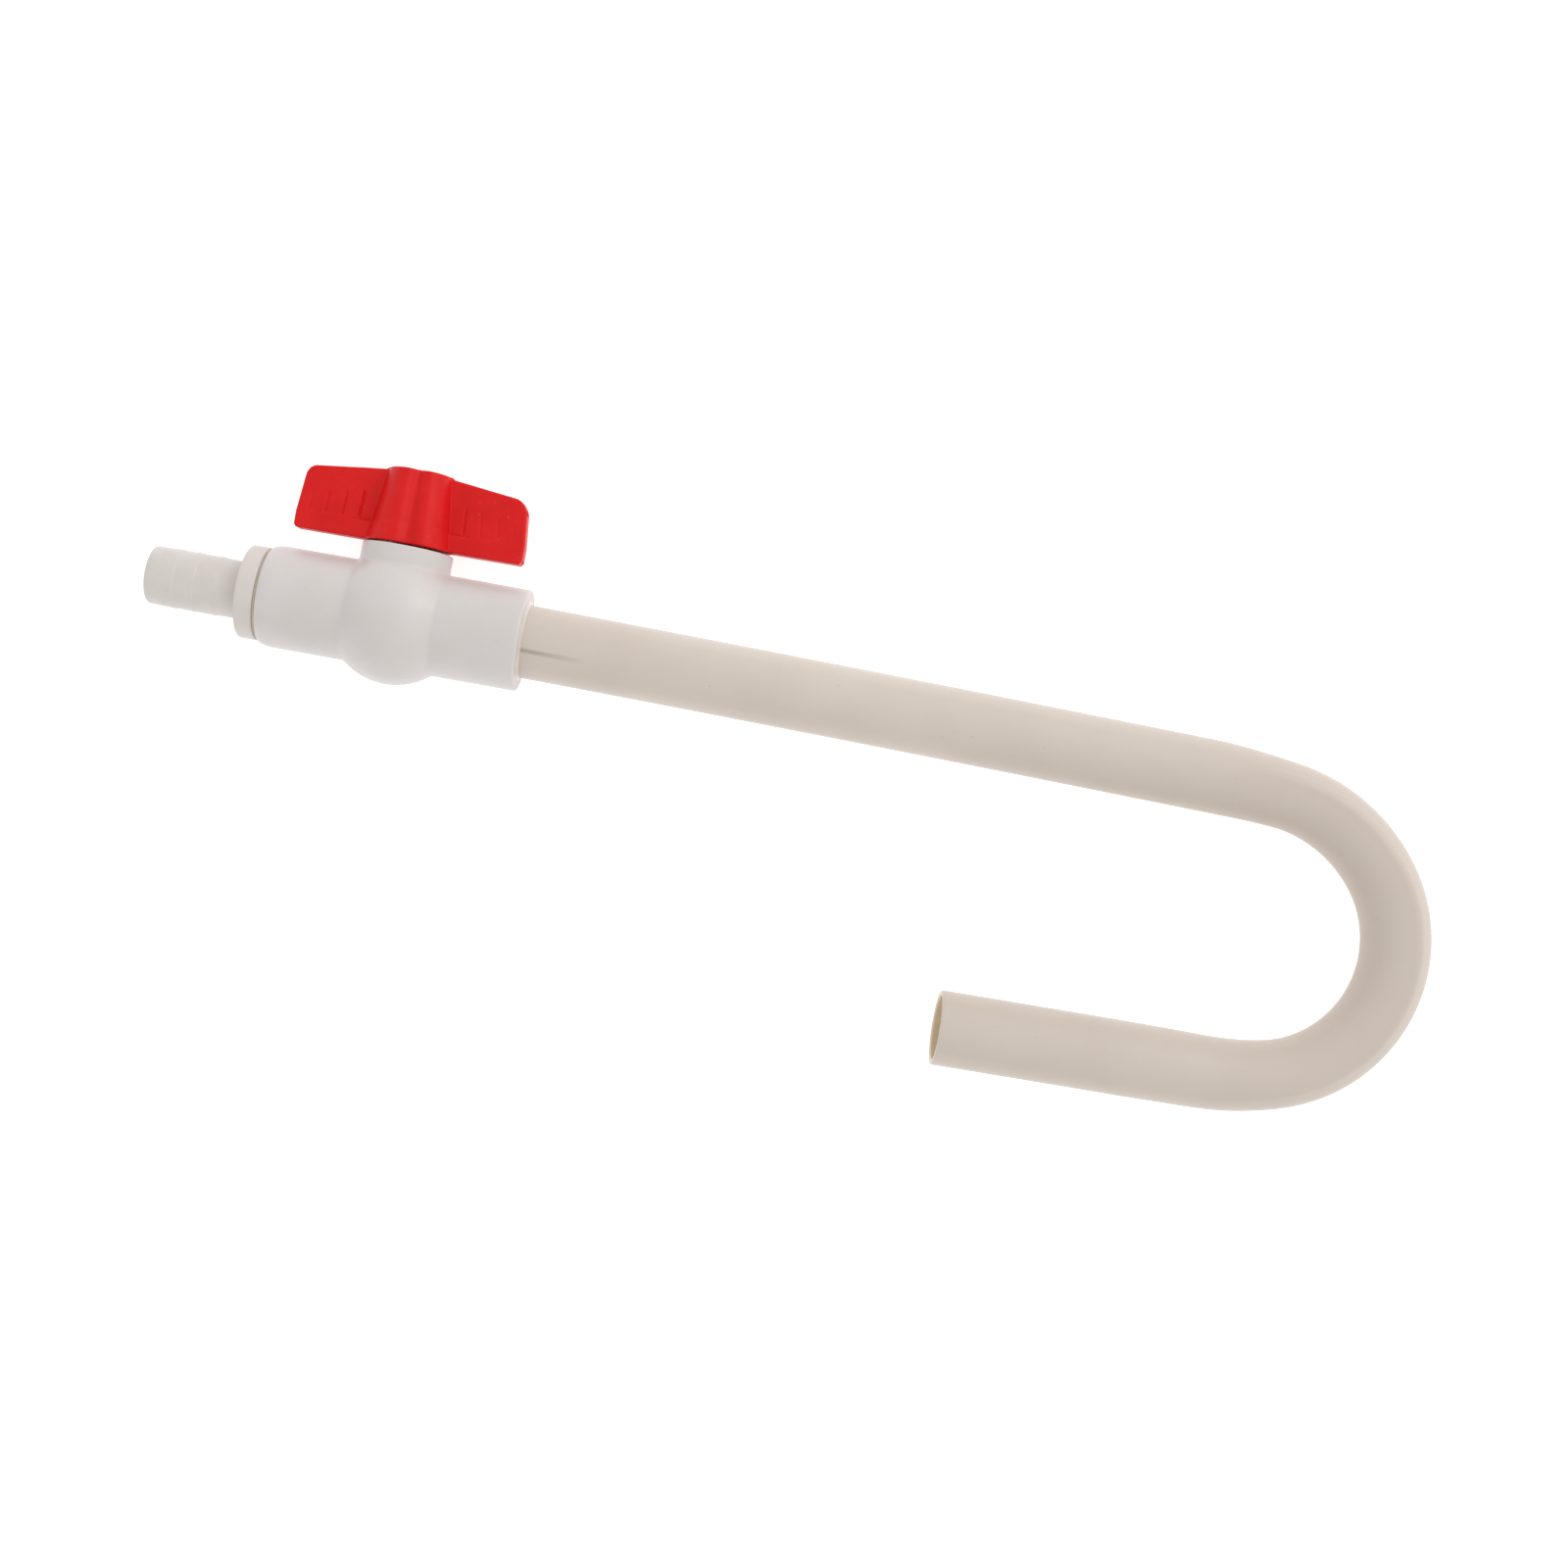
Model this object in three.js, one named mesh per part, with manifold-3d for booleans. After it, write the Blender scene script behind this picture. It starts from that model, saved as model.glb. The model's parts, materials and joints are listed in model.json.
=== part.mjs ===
// Hooked siphon head for an aquarium gravel cleaner: a rigid tube bent into a hook that hangs over the
// tank's rim, a compact ball valve with a T handle, and a barbed adapter for the drain hose.
// Millimetres. The group `siphon` is built about the centre of the valve's ball: +X runs along the valve
// towards the tube, +Y runs up the valve's stem, and the hook bends down towards -Y in the XY plane.
// The exported group lies on a table, +Z up, with its origin under the middle of its box.

import * as THREE from "three";
import { mergeVertices } from "three/addons/utils/BufferGeometryUtils.js";
import Module from "manifold-3d";

const wasm = await Module();
wasm.setup();

// ---------------------------------------------------------------- driving dimensions

const GAP = 0.3; // running gap between any two pieces that touch or turn

// Tube: 20 mm pressure pipe, bent warm over a former
const PIPE_OD = 20;
const PIPE_WALL = 1.5;
const SOCKET_FIT = 0.45; // radial gap between pipe and socket, room for a slightly crooked joint
const TUBE_LEAN_DEG = 0.9; // the tube was cemented this far off the valve's axis
const LONG_LEG = 190.6; // straight run from the valve's mouth to the start of the bend
const EASE_IN = { radius: 208, turn: 5.9 }; // the bend as tangent arcs: radius in mm, turn in degrees
const SHOULDER = { radius: 43.6, turn: 48.2 };
const HOOK = { radius: 37.2, turn: 111 };
const EASE_OUT = { radius: 80.7, turn: 13.4 };
const SHORT_LEG = 72.2; // straight run from the end of the bend to the open mouth

// Valve body
const SOCKET_DEPTH = 17;
const SOCKET_WALL = 3.45;
const SOCKET_NOSE = { length: 4.2, drop: 1.1 }; // rounded nose at the hose end
const SOCKET_EDGE = 0.7; // chamfer at the tube end
const PIPE_STOP = 0.5; // how far the pipe and the spigot stay off the stop web
const WEB = 2.4; // web between the seat pocket and the socket
const PORT_R = 8;
const BULGE_WALL = 5.3;
const NECK_RIM = 3.6; // neck radius beyond the stop lug
// The stop lug stands on the neck, and the handle's recess meets it at both ends of the quarter turn.
// It starts at an offset from the stem's bore; its place and span are degrees from +X towards +Z, the
// way the handle closes.
const STOP_LUG = { offset: 1.4, width: 2.3, height: 1.7, at: 135, span: 50 };
const STOP_PLAY_DEG = 2; // free play past each stop
const QUARTER_TURN = 90;

// Ball and its seats
const BALL_BORE_R = 7.25;
const SEAT_LIP = 0.35; // seat bore over ball bore
const SEAT_BAND = 2.9; // radial width of a seat
const BALL_SHOULDER = 1.5; // ball radius beyond the seat
const CHAMBER_GAP = 1;
const SEAT_BACK = 1.4; // seat thickness behind its inner edge
const RING_SECTION = 1.5; // round rubber ring behind each seat
const CARRIER_FLOOR = 2.2; // carrier thickness behind the ring groove
const CARRIER_LIP = 0.3; // carrier radius beyond the seat

// Stem
const STEM_R = 4.6;
const STEM_FLANGE = { lip: 1.2, height: 1.2 };
const WASHER_HEIGHT = 0.6;
const GLAND_HEIGHT = 4.3; // stem bore between the thrust washer's shelf and the top of the neck
const O_RING_SECTION = 1;
const STEM_SQUARE = 6;
const STEM_SQUARE_HEIGHT = 13.7;
const TANG = { width: 4.4, length: 9, depth: 3.2 };

// Handle
const HANDLE_LENGTH = 64;
const HANDLE_HEIGHT = 21.3; // at the hub
const WING_TIP_HEIGHT = 17.8;
const WING_THICK = 4;
const WING_LEAN = 1.7; // how far each wing's end leans in towards the top
const WING_CORNER = 2.6;
const BAND = { height: 5.1, thick: 6 }; // thicker strip along the wings' lower edge
const SKIRT = { inset: 0.8, draft: 0.4, height: 5.4, blend: 3.4 }; // inset from the neck's radius
const HUB_R = 8.3;
const HUB_FLUTE = 0.7; // depth of the shallow flute down the front and the back of the hub
const HUB_WEB = 3; // plastic between the square socket and the screw's recess
const SCREW = { head: 3.7, headHeight: 2, shank: 1.35, length: 12, recess: 4.4, washer: 0.6 };

// Hose adapter
const COLLAR = { rim: 1.05, width: 4.5 }; // the rim stands round the gasket's seat
const COLLAR_STANDOFF = 0.75; // open line between collar and valve, where the gasket shows
const GASKET = { band: 1, thick: 1.35 };
const SPIGOT_BORE_R = 7.8;
const TAIL_LENGTH = 26.7;
const TAIL_BORE_R = 5.8;
const TAIL_WALL = 1.85; // at the foot of each barb
const TAIL_NECK = 6.4; // plain length between the collar and the first barb
const BARB = { step: 0.35, pitch: 5.6, count: 3, tipStep: 0.3 };

// Facets
const SIDES = 28; // round the valve's axis
const STEM_SIDES = 20;
const PIPE_SIDES = 16;
const BORE_SIDES = 12;
const PIPE_STEP = 9; // length of one facet along the tube

// ---------------------------------------------------------------- sizes that follow

const PIPE_R = PIPE_OD / 2;
const PIPE_BORE_R = PIPE_R - PIPE_WALL;
const SOCKET_BORE_R = PIPE_R + SOCKET_FIT;
const SOCKET_R = SOCKET_BORE_R + SOCKET_WALL;

const SEAT_BORE_R = BALL_BORE_R + SEAT_LIP;
const SEAT_R = SEAT_BORE_R + SEAT_BAND;
const BALL_R = SEAT_R + BALL_SHOULDER;
const SEAT_FACE_R = BALL_R + GAP;
const SEAT_END = Math.sqrt(SEAT_FACE_R ** 2 - SEAT_BORE_R ** 2) + SEAT_BACK;
const CARRIER_START = SEAT_END + GAP;
const GROOVE = RING_SECTION + 2 * GAP;
const CARRIER_END = CARRIER_START + GROOVE + CARRIER_FLOOR;
const CARRIER_R = SEAT_R + CARRIER_LIP;
const POCKET_R = CARRIER_R + GAP;
const POCKET_END = CARRIER_END + GAP;

const CHAMBER_R = BALL_R + CHAMBER_GAP;
const BULGE_R = CHAMBER_R + BULGE_WALL;
const SOCKET_FLOOR = POCKET_END + WEB;
const VALVE_END = SOCKET_FLOOR + SOCKET_DEPTH;

const FLANGE_R = STEM_R + STEM_FLANGE.lip;
const FLANGE_BOTTOM = BALL_R + GAP;
const FLANGE_TOP = FLANGE_BOTTOM + STEM_FLANGE.height;
const WASHER_BOTTOM = FLANGE_TOP + GAP;
const SHELF = WASHER_BOTTOM + WASHER_HEIGHT + GAP;
const NECK_TOP = SHELF + GLAND_HEIGHT;
const GLAND_R = STEM_R + GAP;
const O_RING_GROOVE = O_RING_SECTION + 2 * GAP;
const LUG_INNER = GLAND_R + STOP_LUG.offset;
const LUG_OUTER = LUG_INNER + STOP_LUG.width;
const LUG_TOP = NECK_TOP + STOP_LUG.height;
const NECK_R = LUG_OUTER + NECK_RIM;

const HANDLE_BOTTOM = NECK_TOP + GAP;
const HANDLE_TOP = HANDLE_BOTTOM + HANDLE_HEIGHT;
const SQUARE_TOP = HANDLE_BOTTOM + STEM_SQUARE_HEIGHT;
const RECESS_FLOOR = SQUARE_TOP + GAP + HUB_WEB;
const WASHER_SEAT = RECESS_FLOOR + GAP;
const SCREW_SEAT = WASHER_SEAT + SCREW.washer + GAP;
const SKIRT_R = NECK_R - SKIRT.inset;
const SKIRT_TOP = HANDLE_BOTTOM + SKIRT.height;

const COLLAR_FACE = VALVE_END + COLLAR_STANDOFF;
const COLLAR_BACK = COLLAR_FACE + COLLAR.width;
const TAIL_END = COLLAR_BACK + TAIL_LENGTH;
const GASKET_R = PIPE_R + GAP + GASKET.band;
const TAIL_R = TAIL_BORE_R + TAIL_WALL;
const GASKET_START = VALVE_END + GAP;
const GASKET_END = GASKET_START + GASKET.thick;
const GASKET_SEAT_R = GASKET_R + GAP;
const COLLAR_R = GASKET_SEAT_R + COLLAR.rim;

// ---------------------------------------------------------------- solids and meshes

// A geometry as a solid that can be joined and cut: only positions, with shared corners merged.
function solid(geometry) {
  const bare = geometry.clone();
  bare.deleteAttribute("normal");
  bare.deleteAttribute("uv");
  const merged = mergeVertices(bare, 1e-4);
  return new wasm.Manifold(
    new wasm.Mesh({
      numProp: 3,
      vertProperties: merged.attributes.position.array,
      triVerts: new Uint32Array(merged.index.array),
    }),
  );
}

function geometryOf(body) {
  const { vertProperties, triVerts } = body.getMesh();
  const geometry = new THREE.BufferGeometry();
  geometry.setAttribute("position", new THREE.BufferAttribute(vertProperties, 3));
  geometry.setIndex(new THREE.BufferAttribute(triVerts, 1));
  geometry.computeVertexNormals();
  return geometry;
}

function piece(name, body, material) {
  const mesh = new THREE.Mesh(geometryOf(body), material);
  mesh.name = name;
  return mesh;
}

// Turns a closed or axis-to-axis profile of [radius, height] points about +Y.
function turned(profile, sides) {
  return new THREE.LatheGeometry(
    profile.map(([r, y]) => new THREE.Vector2(r, y)),
    sides,
  );
}

// The same about +X, for the pieces strung along the valve's axis.
function turnedAlongX(profile, sides = SIDES) {
  return turned(profile, sides).rotateZ(-Math.PI / 2);
}

// A closed ring profile between two radii and two heights.
function ringProfile(inner, outer, low, high) {
  return [
    [inner, low],
    [outer, low],
    [outer, high],
    [inner, high],
    [inner, low],
  ];
}

// A solid cylinder about +Y from one height to another.
function post(radius, low, high, sides = STEM_SIDES) {
  const height = high - low;
  return new THREE.CylinderGeometry(radius, radius, height, sides).translate(0, low + height / 2, 0);
}

// A block about the Y axis, width along X and length along Z.
function block(width, length, low, high) {
  return new THREE.BoxGeometry(width, high - low, length).translate(0, (low + high) / 2, 0);
}

// Points on an arc of a circle about a centre on the axis, as [radius, height], from one height to another.
function arcByHeight(radius, from, to, steps) {
  return Array.from({ length: steps + 1 }, (_, i) => {
    const start = Math.asin(from / radius);
    const angle = start + ((Math.asin(to / radius) - start) * i) / steps;
    return [radius * Math.cos(angle), radius * Math.sin(angle)];
  });
}

// A rubber ring of round section about +Y.
function roundRing(radius, section, height, sides) {
  const steps = 8;
  const profile = Array.from({ length: steps + 1 }, (_, i) => {
    const angle = (2 * Math.PI * i) / steps;
    return [radius + (section / 2) * Math.cos(angle), height + (section / 2) * Math.sin(angle)];
  });
  return turned(profile, sides);
}

// ---------------------------------------------------------------- materials

const plastic = (color, roughness) => new THREE.MeshStandardMaterial({ color, roughness, metalness: 0 });
const valvePlastic = plastic(0xd8d5d2, 0.35);
const adapterPlastic = plastic(0xd6cfc8, 0.4);
const tubePlastic = plastic(0xd8cfc3, 0.4);
const redPlastic = plastic(0xdc2626, 0.4);
const ballPlastic = plastic(0xe6e4df, 0.25);
const seatPlastic = plastic(0xf2f1ec, 0.5);
const carrierPlastic = plastic(0xcfccc6, 0.5);
const rubber = plastic(0x232323, 0.8);
const gasketRubber = plastic(0x8f7a64, 0.8);
const screwSteel = new THREE.MeshStandardMaterial({ color: 0xb9bbbd, roughness: 0.35, metalness: 1 });

// ---------------------------------------------------------------- valve body

// One moulding: the bulge round the ball, a socket at each end and the neck that holds the stem.
function valveBody() {
  const crease = Math.sqrt(BULGE_R ** 2 - SOCKET_R ** 2);
  const noseSteps = 4;
  const nose = Array.from({ length: noseSteps + 1 }, (_, i) => {
    const angle = (Math.PI / 2) * (i / noseSteps);
    return [
      SOCKET_R - SOCKET_NOSE.drop * (1 - Math.sin(angle)),
      -VALVE_END + SOCKET_NOSE.length * (1 - Math.cos(angle)),
    ];
  });
  const outside = turnedAlongX([
    [0, -VALVE_END],
    ...nose,
    ...arcByHeight(BULGE_R, -crease, crease, 10),
    [SOCKET_R, VALVE_END - SOCKET_EDGE],
    [SOCKET_R - SOCKET_EDGE, VALVE_END],
    [0, VALVE_END],
  ]);
  const pocketStart = Math.sqrt(CHAMBER_R ** 2 - POCKET_R ** 2);
  const inside = turnedAlongX([
    [0, -VALVE_END - 1],
    [SOCKET_BORE_R, -VALVE_END - 1],
    [SOCKET_BORE_R, -SOCKET_FLOOR],
    [PORT_R, -SOCKET_FLOOR],
    [PORT_R, -POCKET_END],
    [POCKET_R, -POCKET_END],
    ...arcByHeight(CHAMBER_R, -pocketStart, pocketStart, 4),
    [POCKET_R, POCKET_END],
    [PORT_R, POCKET_END],
    [PORT_R, SOCKET_FLOOR],
    [SOCKET_BORE_R, SOCKET_FLOOR],
    [SOCKET_BORE_R, VALVE_END + 1],
    [0, VALVE_END + 1],
  ]);
  return solid(outside)
    .add(solid(post(NECK_R, 0, NECK_TOP, SIDES)))
    .add(solid(ringSector(LUG_INNER, LUG_OUTER, STOP_LUG, NECK_TOP - GAP, LUG_TOP)))
    .subtract(solid(inside))
    .subtract(solid(post(FLANGE_R + GAP, 0, SHELF)))
    .subtract(solid(post(GLAND_R, 0, LUG_TOP + 1)));
}

// A block of ring about +Y between two radii and two heights, with its middle and span in degrees.
function ringSector(inner, outer, { at, span }, low, high) {
  const from = THREE.MathUtils.degToRad(-at - span / 2);
  const to = THREE.MathUtils.degToRad(-at + span / 2);
  const shape = new THREE.Shape();
  shape.absarc(0, 0, outer, from, to, false);
  shape.absarc(0, 0, inner, to, from, true);
  const options = { depth: high - low, bevelEnabled: false, curveSegments: 8 };
  return new THREE.ExtrudeGeometry(shape, options).rotateX(-Math.PI / 2).translate(0, low, 0);
}

// ---------------------------------------------------------------- ball, seats and what backs them

function ball() {
  const bore = turnedAlongX([
    [0, -BALL_R - 1],
    [BALL_BORE_R, -BALL_R - 1],
    [BALL_BORE_R, BALL_R + 1],
    [0, BALL_R + 1],
  ]);
  const slotWidth = TANG.width + 2 * GAP;
  const slot = block(slotWidth, 2 * BALL_R + 2, BALL_R - TANG.depth, BALL_R + 1);
  return solid(new THREE.SphereGeometry(BALL_R, SIDES, SIDES / 2))
    .subtract(solid(bore))
    .subtract(solid(slot));
}

// A seat lies against the ball with a hollow face of the ball's radius and the running gap.
function seat() {
  const outerEdge = Math.sqrt(SEAT_FACE_R ** 2 - SEAT_R ** 2);
  const innerEdge = Math.sqrt(SEAT_FACE_R ** 2 - SEAT_BORE_R ** 2);
  const face = arcByHeight(SEAT_FACE_R, innerEdge, outerEdge, 3);
  return turnedAlongX([...face, [SEAT_R, SEAT_END], [SEAT_BORE_R, SEAT_END], face[0]]);
}

const RING_R = (SEAT_BORE_R + SEAT_R) / 2;

function seatRing() {
  const height = CARRIER_START + GROOVE / 2;
  return roundRing(RING_R, RING_SECTION, height, SIDES).rotateZ(-Math.PI / 2);
}

// The carrier holds the seat's rubber ring in a groove and spaces the stack off the body's web.
function seatCarrier() {
  const grooveFloor = CARRIER_START + GROOVE;
  return turnedAlongX([
    [SEAT_BORE_R, CARRIER_START],
    [RING_R - GROOVE / 2, CARRIER_START],
    [RING_R - GROOVE / 2, grooveFloor],
    [RING_R + GROOVE / 2, grooveFloor],
    [RING_R + GROOVE / 2, CARRIER_START],
    [CARRIER_R, CARRIER_START],
    [CARRIER_R, CARRIER_END],
    [SEAT_BORE_R, CARRIER_END],
    [SEAT_BORE_R, CARRIER_START],
  ]);
}

// ---------------------------------------------------------------- stem and its seals

// Heights of the two ring grooves, evenly spread over the gland.
const O_RING_HEIGHTS = [0.27, 0.73].map((share) => SHELF + GLAND_HEIGHT * share);
const O_RING_FLOOR = GLAND_R - O_RING_GROOVE;

// Tang in the ball's slot, flange under the body's shelf, grooved shaft, and a square for the handle.
function stem() {
  const grooves = O_RING_HEIGHTS.flatMap((height) => [
    [STEM_R, height - O_RING_GROOVE / 2],
    [O_RING_FLOOR, height - O_RING_GROOVE / 2],
    [O_RING_FLOOR, height + O_RING_GROOVE / 2],
    [STEM_R, height + O_RING_GROOVE / 2],
  ]);
  const shaft = turned(
    [
      [0, FLANGE_BOTTOM],
      [FLANGE_R, FLANGE_BOTTOM],
      [FLANGE_R, FLANGE_TOP],
      [STEM_R, FLANGE_TOP],
      ...grooves,
      [STEM_R, NECK_TOP],
      [0, NECK_TOP],
    ],
    STEM_SIDES,
  );
  const tang = block(TANG.width, TANG.length, BALL_R - TANG.depth + GAP, FLANGE_TOP);
  const square = block(STEM_SQUARE, STEM_SQUARE, NECK_TOP - GAP, SQUARE_TOP);
  const pilot = post(SCREW.shank + GAP, SCREW_SEAT - SCREW.length - GAP, SQUARE_TOP + 1);
  return solid(shaft).add(solid(tang)).add(solid(square)).subtract(solid(pilot));
}

function stemORing(height) {
  return roundRing(O_RING_FLOOR + O_RING_GROOVE / 2, O_RING_SECTION, height, STEM_SIDES);
}

function thrustWasher() {
  return turned(
    ringProfile(GLAND_R, FLANGE_R, WASHER_BOTTOM, WASHER_BOTTOM + WASHER_HEIGHT),
    STEM_SIDES,
  );
}

// ---------------------------------------------------------------- handle

// One wing plate: straight foot, ends that lean in, a top that falls away from the hub, round corners.
function wingPlate(low, thick) {
  const half = HANDLE_LENGTH / 2;
  const bandTop = low + BAND.height;
  const tipTop = low + WING_TIP_HEIGHT;
  const shape = new THREE.Shape();
  shape.moveTo(-half, low);
  shape.lineTo(half, low);
  shape.lineTo(half, bandTop);
  shape.lineTo(half - WING_LEAN, tipTop - WING_CORNER);
  shape.quadraticCurveTo(half - WING_LEAN, tipTop, half - WING_LEAN - WING_CORNER, tipTop);
  shape.lineTo(0, low + HANDLE_HEIGHT - GAP);
  shape.lineTo(-half + WING_LEAN + WING_CORNER, tipTop);
  shape.quadraticCurveTo(-half + WING_LEAN, tipTop, -half + WING_LEAN, tipTop - WING_CORNER);
  shape.lineTo(-half, bandTop);
  shape.closePath();
  const options = { depth: thick, bevelEnabled: false, curveSegments: 4 };
  return new THREE.ExtrudeGeometry(shape, options).translate(0, 0, -thick / 2);
}

// The hub's column: round, with a shallow flute down its front and its back.
function hubColumn(low, high) {
  const steps = 32;
  const outline = Array.from({ length: steps }, (_, i) => {
    const angle = (2 * Math.PI * i) / steps;
    const flute = HUB_FLUTE * Math.max(0, Math.cos(2 * angle + Math.PI)) ** 4;
    return new THREE.Vector2((HUB_R - flute) * Math.cos(angle), (HUB_R - flute) * Math.sin(angle));
  });
  const options = { depth: high - low, bevelEnabled: false };
  return new THREE.ExtrudeGeometry(new THREE.Shape(outline), options)
    .rotateX(-Math.PI / 2)
    .translate(0, low, 0);
}

function handle() {
  const skirt = turned(
    [
      [0, HANDLE_BOTTOM],
      [SKIRT_R, HANDLE_BOTTOM],
      [SKIRT_R - SKIRT.draft, SKIRT_TOP],
      [HUB_R, SKIRT_TOP + SKIRT.blend],
      [0, SKIRT_TOP + SKIRT.blend],
    ],
    SIDES,
  );
  const band = block(HANDLE_LENGTH, BAND.thick, HANDLE_BOTTOM, HANDLE_BOTTOM + BAND.height);
  const socket = STEM_SQUARE + 2 * GAP;
  const sweep = {
    at: STOP_LUG.at - QUARTER_TURN / 2,
    span: STOP_LUG.span + QUARTER_TURN + 2 * STOP_PLAY_DEG,
  };
  const recess = ringSector(LUG_INNER - GAP, LUG_OUTER + GAP, sweep, HANDLE_BOTTOM - 1, LUG_TOP + GAP);
  return solid(wingPlate(HANDLE_BOTTOM, WING_THICK))
    .add(solid(band))
    .add(solid(skirt))
    .add(solid(hubColumn(HANDLE_BOTTOM + 1, HANDLE_TOP)))
    .subtract(solid(recess))
    .subtract(solid(block(socket, socket, HANDLE_BOTTOM - 1, SQUARE_TOP + GAP)))
    .subtract(solid(post(SCREW.shank + GAP, SQUARE_TOP, HANDLE_TOP)))
    .subtract(solid(post(SCREW.recess, RECESS_FLOOR, HANDLE_TOP + 1)));
}

function handleScrew() {
  const headTop = SCREW_SEAT + SCREW.headHeight;
  const shape = turned(
    [
      [0, SCREW_SEAT - SCREW.length],
      [SCREW.shank, SCREW_SEAT - SCREW.length + SCREW.shank],
      [SCREW.shank, SCREW_SEAT],
      [SCREW.head, SCREW_SEAT],
      [SCREW.head, SCREW_SEAT + SCREW.headHeight / 2],
      [SCREW.head * 0.7, headTop],
      [0, headTop],
    ],
    STEM_SIDES,
  );
  const slotWide = SCREW.head * 0.28;
  const slotLong = SCREW.head * 1.15;
  const slotLow = SCREW_SEAT + SCREW.headHeight * 0.45;
  return solid(shape)
    .subtract(solid(block(slotWide, slotLong, slotLow, headTop + 1)))
    .subtract(solid(block(slotLong, slotWide, slotLow, headTop + 1)));
}

function screwWasher() {
  return turned(ringProfile(SCREW.shank + GAP, SCREW.head, WASHER_SEAT, WASHER_SEAT + SCREW.washer), STEM_SIDES);
}

// ---------------------------------------------------------------- hose adapter and gasket

// Spigot in the valve's socket, collar against its end, and a barbed tail for the hose.
// Its profile runs outwards along -X, so heights are the distance from the ball.
function hoseAdapter() {
  const start = SOCKET_FLOOR + PIPE_STOP;
  const gasketSeat = GASKET_END + GAP;
  const barbStart = COLLAR_BACK + TAIL_NECK;
  const barbs = Array.from({ length: BARB.count }, (_, i) => [
    [TAIL_R, barbStart + i * BARB.pitch],
    [TAIL_R + BARB.step, barbStart + i * BARB.pitch],
  ]).flat();
  return turned(
    [
      [SPIGOT_BORE_R, start],
      [PIPE_R, start],
      [PIPE_R, gasketSeat],
      [GASKET_SEAT_R, gasketSeat],
      [GASKET_SEAT_R, COLLAR_FACE],
      [COLLAR_R, COLLAR_FACE],
      [COLLAR_R, COLLAR_BACK],
      [TAIL_R, COLLAR_BACK],
      ...barbs,
      [TAIL_R, barbStart + BARB.count * BARB.pitch],
      [TAIL_R - BARB.tipStep, TAIL_END],
      [TAIL_BORE_R, TAIL_END],
      [TAIL_BORE_R, COLLAR_BACK],
      [SPIGOT_BORE_R, COLLAR_FACE],
      [SPIGOT_BORE_R, start],
    ],
    SIDES,
  ).rotateZ(Math.PI / 2);
}

function adapterGasket() {
  return turned(ringProfile(PIPE_R + GAP, GASKET_R, GASKET_START, GASKET_END), SIDES).rotateZ(
    Math.PI / 2,
  );
}

// ---------------------------------------------------------------- tube

// The tube's centre line, from the end inside the valve's socket to the open mouth: a chain of straight
// runs and arcs, each starting where and as the last one ended.
class HookLine extends THREE.Curve {
  constructor(runs) {
    super();
    this.total = runs.reduce((sum, run) => sum + run.length, 0);
    this.runs = runs;
  }

  getPoint(t, target = new THREE.Vector3()) {
    let left = t * this.total;
    let heading = 0;
    target.set(0, 0, 0);
    for (const { length, turn } of this.runs) {
      const share = THREE.MathUtils.clamp(left / length, 0, 1);
      const swing = THREE.MathUtils.degToRad(turn) * share;
      const chord = turn ? (2 * length * share * Math.sin(swing / 2)) / swing || 0 : length * share;
      target.x += chord * Math.cos(heading - swing / 2);
      target.y += chord * Math.sin(heading - swing / 2);
      heading -= swing;
      left -= length * share;
    }
    return target;
  }
}

const straight = (length) => ({ length, turn: 0 });
const bend = ({ radius, turn }) => ({ length: radius * THREE.MathUtils.degToRad(turn), turn });

const inSocket = SOCKET_DEPTH - PIPE_STOP;
const hookLine = new HookLine([
  straight(inSocket + LONG_LEG),
  bend(EASE_IN),
  bend(SHOULDER),
  bend(HOOK),
  bend(EASE_OUT),
  straight(SHORT_LEG),
]);

// The tube turns about the middle of its stretch in the socket, so that it stays off the wall all round.
function tubeInPlace(geometry) {
  return geometry
    .translate(-inSocket / 2, 0, 0)
    .rotateZ(THREE.MathUtils.degToRad(-TUBE_LEAN_DEG))
    .translate(VALVE_END - inSocket / 2, 0, 0);
}

// A regular ring of corners as a shape's outline or hole.
function ringOfPoints(radius, sides) {
  return Array.from({ length: sides }, (_, i) => {
    const angle = (2 * Math.PI * i) / sides;
    return new THREE.Vector2(radius * Math.cos(angle), radius * Math.sin(angle));
  });
}

function hookTube() {
  const section = new THREE.Shape(ringOfPoints(PIPE_R, PIPE_SIDES));
  section.holes.push(new THREE.Path(ringOfPoints(PIPE_BORE_R, BORE_SIDES)));
  const options = {
    extrudePath: hookLine,
    steps: Math.round(hookLine.total / PIPE_STEP),
    bevelEnabled: false,
  };
  return tubeInPlace(new THREE.ExtrudeGeometry(section, options));
}

// ---------------------------------------------------------------- assembly

const siphon = new THREE.Group();

siphon.add(
  piece("valve_body", valveBody(), valvePlastic),
  piece("ball", ball(), ballPlastic),
  piece("stem", stem(), carrierPlastic),
  piece("thrust_washer", solid(thrustWasher()), seatPlastic),
  piece("handle", handle(), redPlastic),
  piece("handle_screw", handleScrew(), screwSteel),
  piece("screw_washer", solid(screwWasher()), screwSteel),
  piece("hose_adapter", solid(hoseAdapter()), adapterPlastic),
  piece("adapter_gasket", solid(adapterGasket()), gasketRubber),
  piece("hook_tube", solid(hookTube()), tubePlastic),
);

O_RING_HEIGHTS.forEach((height, i) => {
  siphon.add(piece(["stem_o_ring_lower", "stem_o_ring_upper"][i], solid(stemORing(height)), rubber));
});

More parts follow.
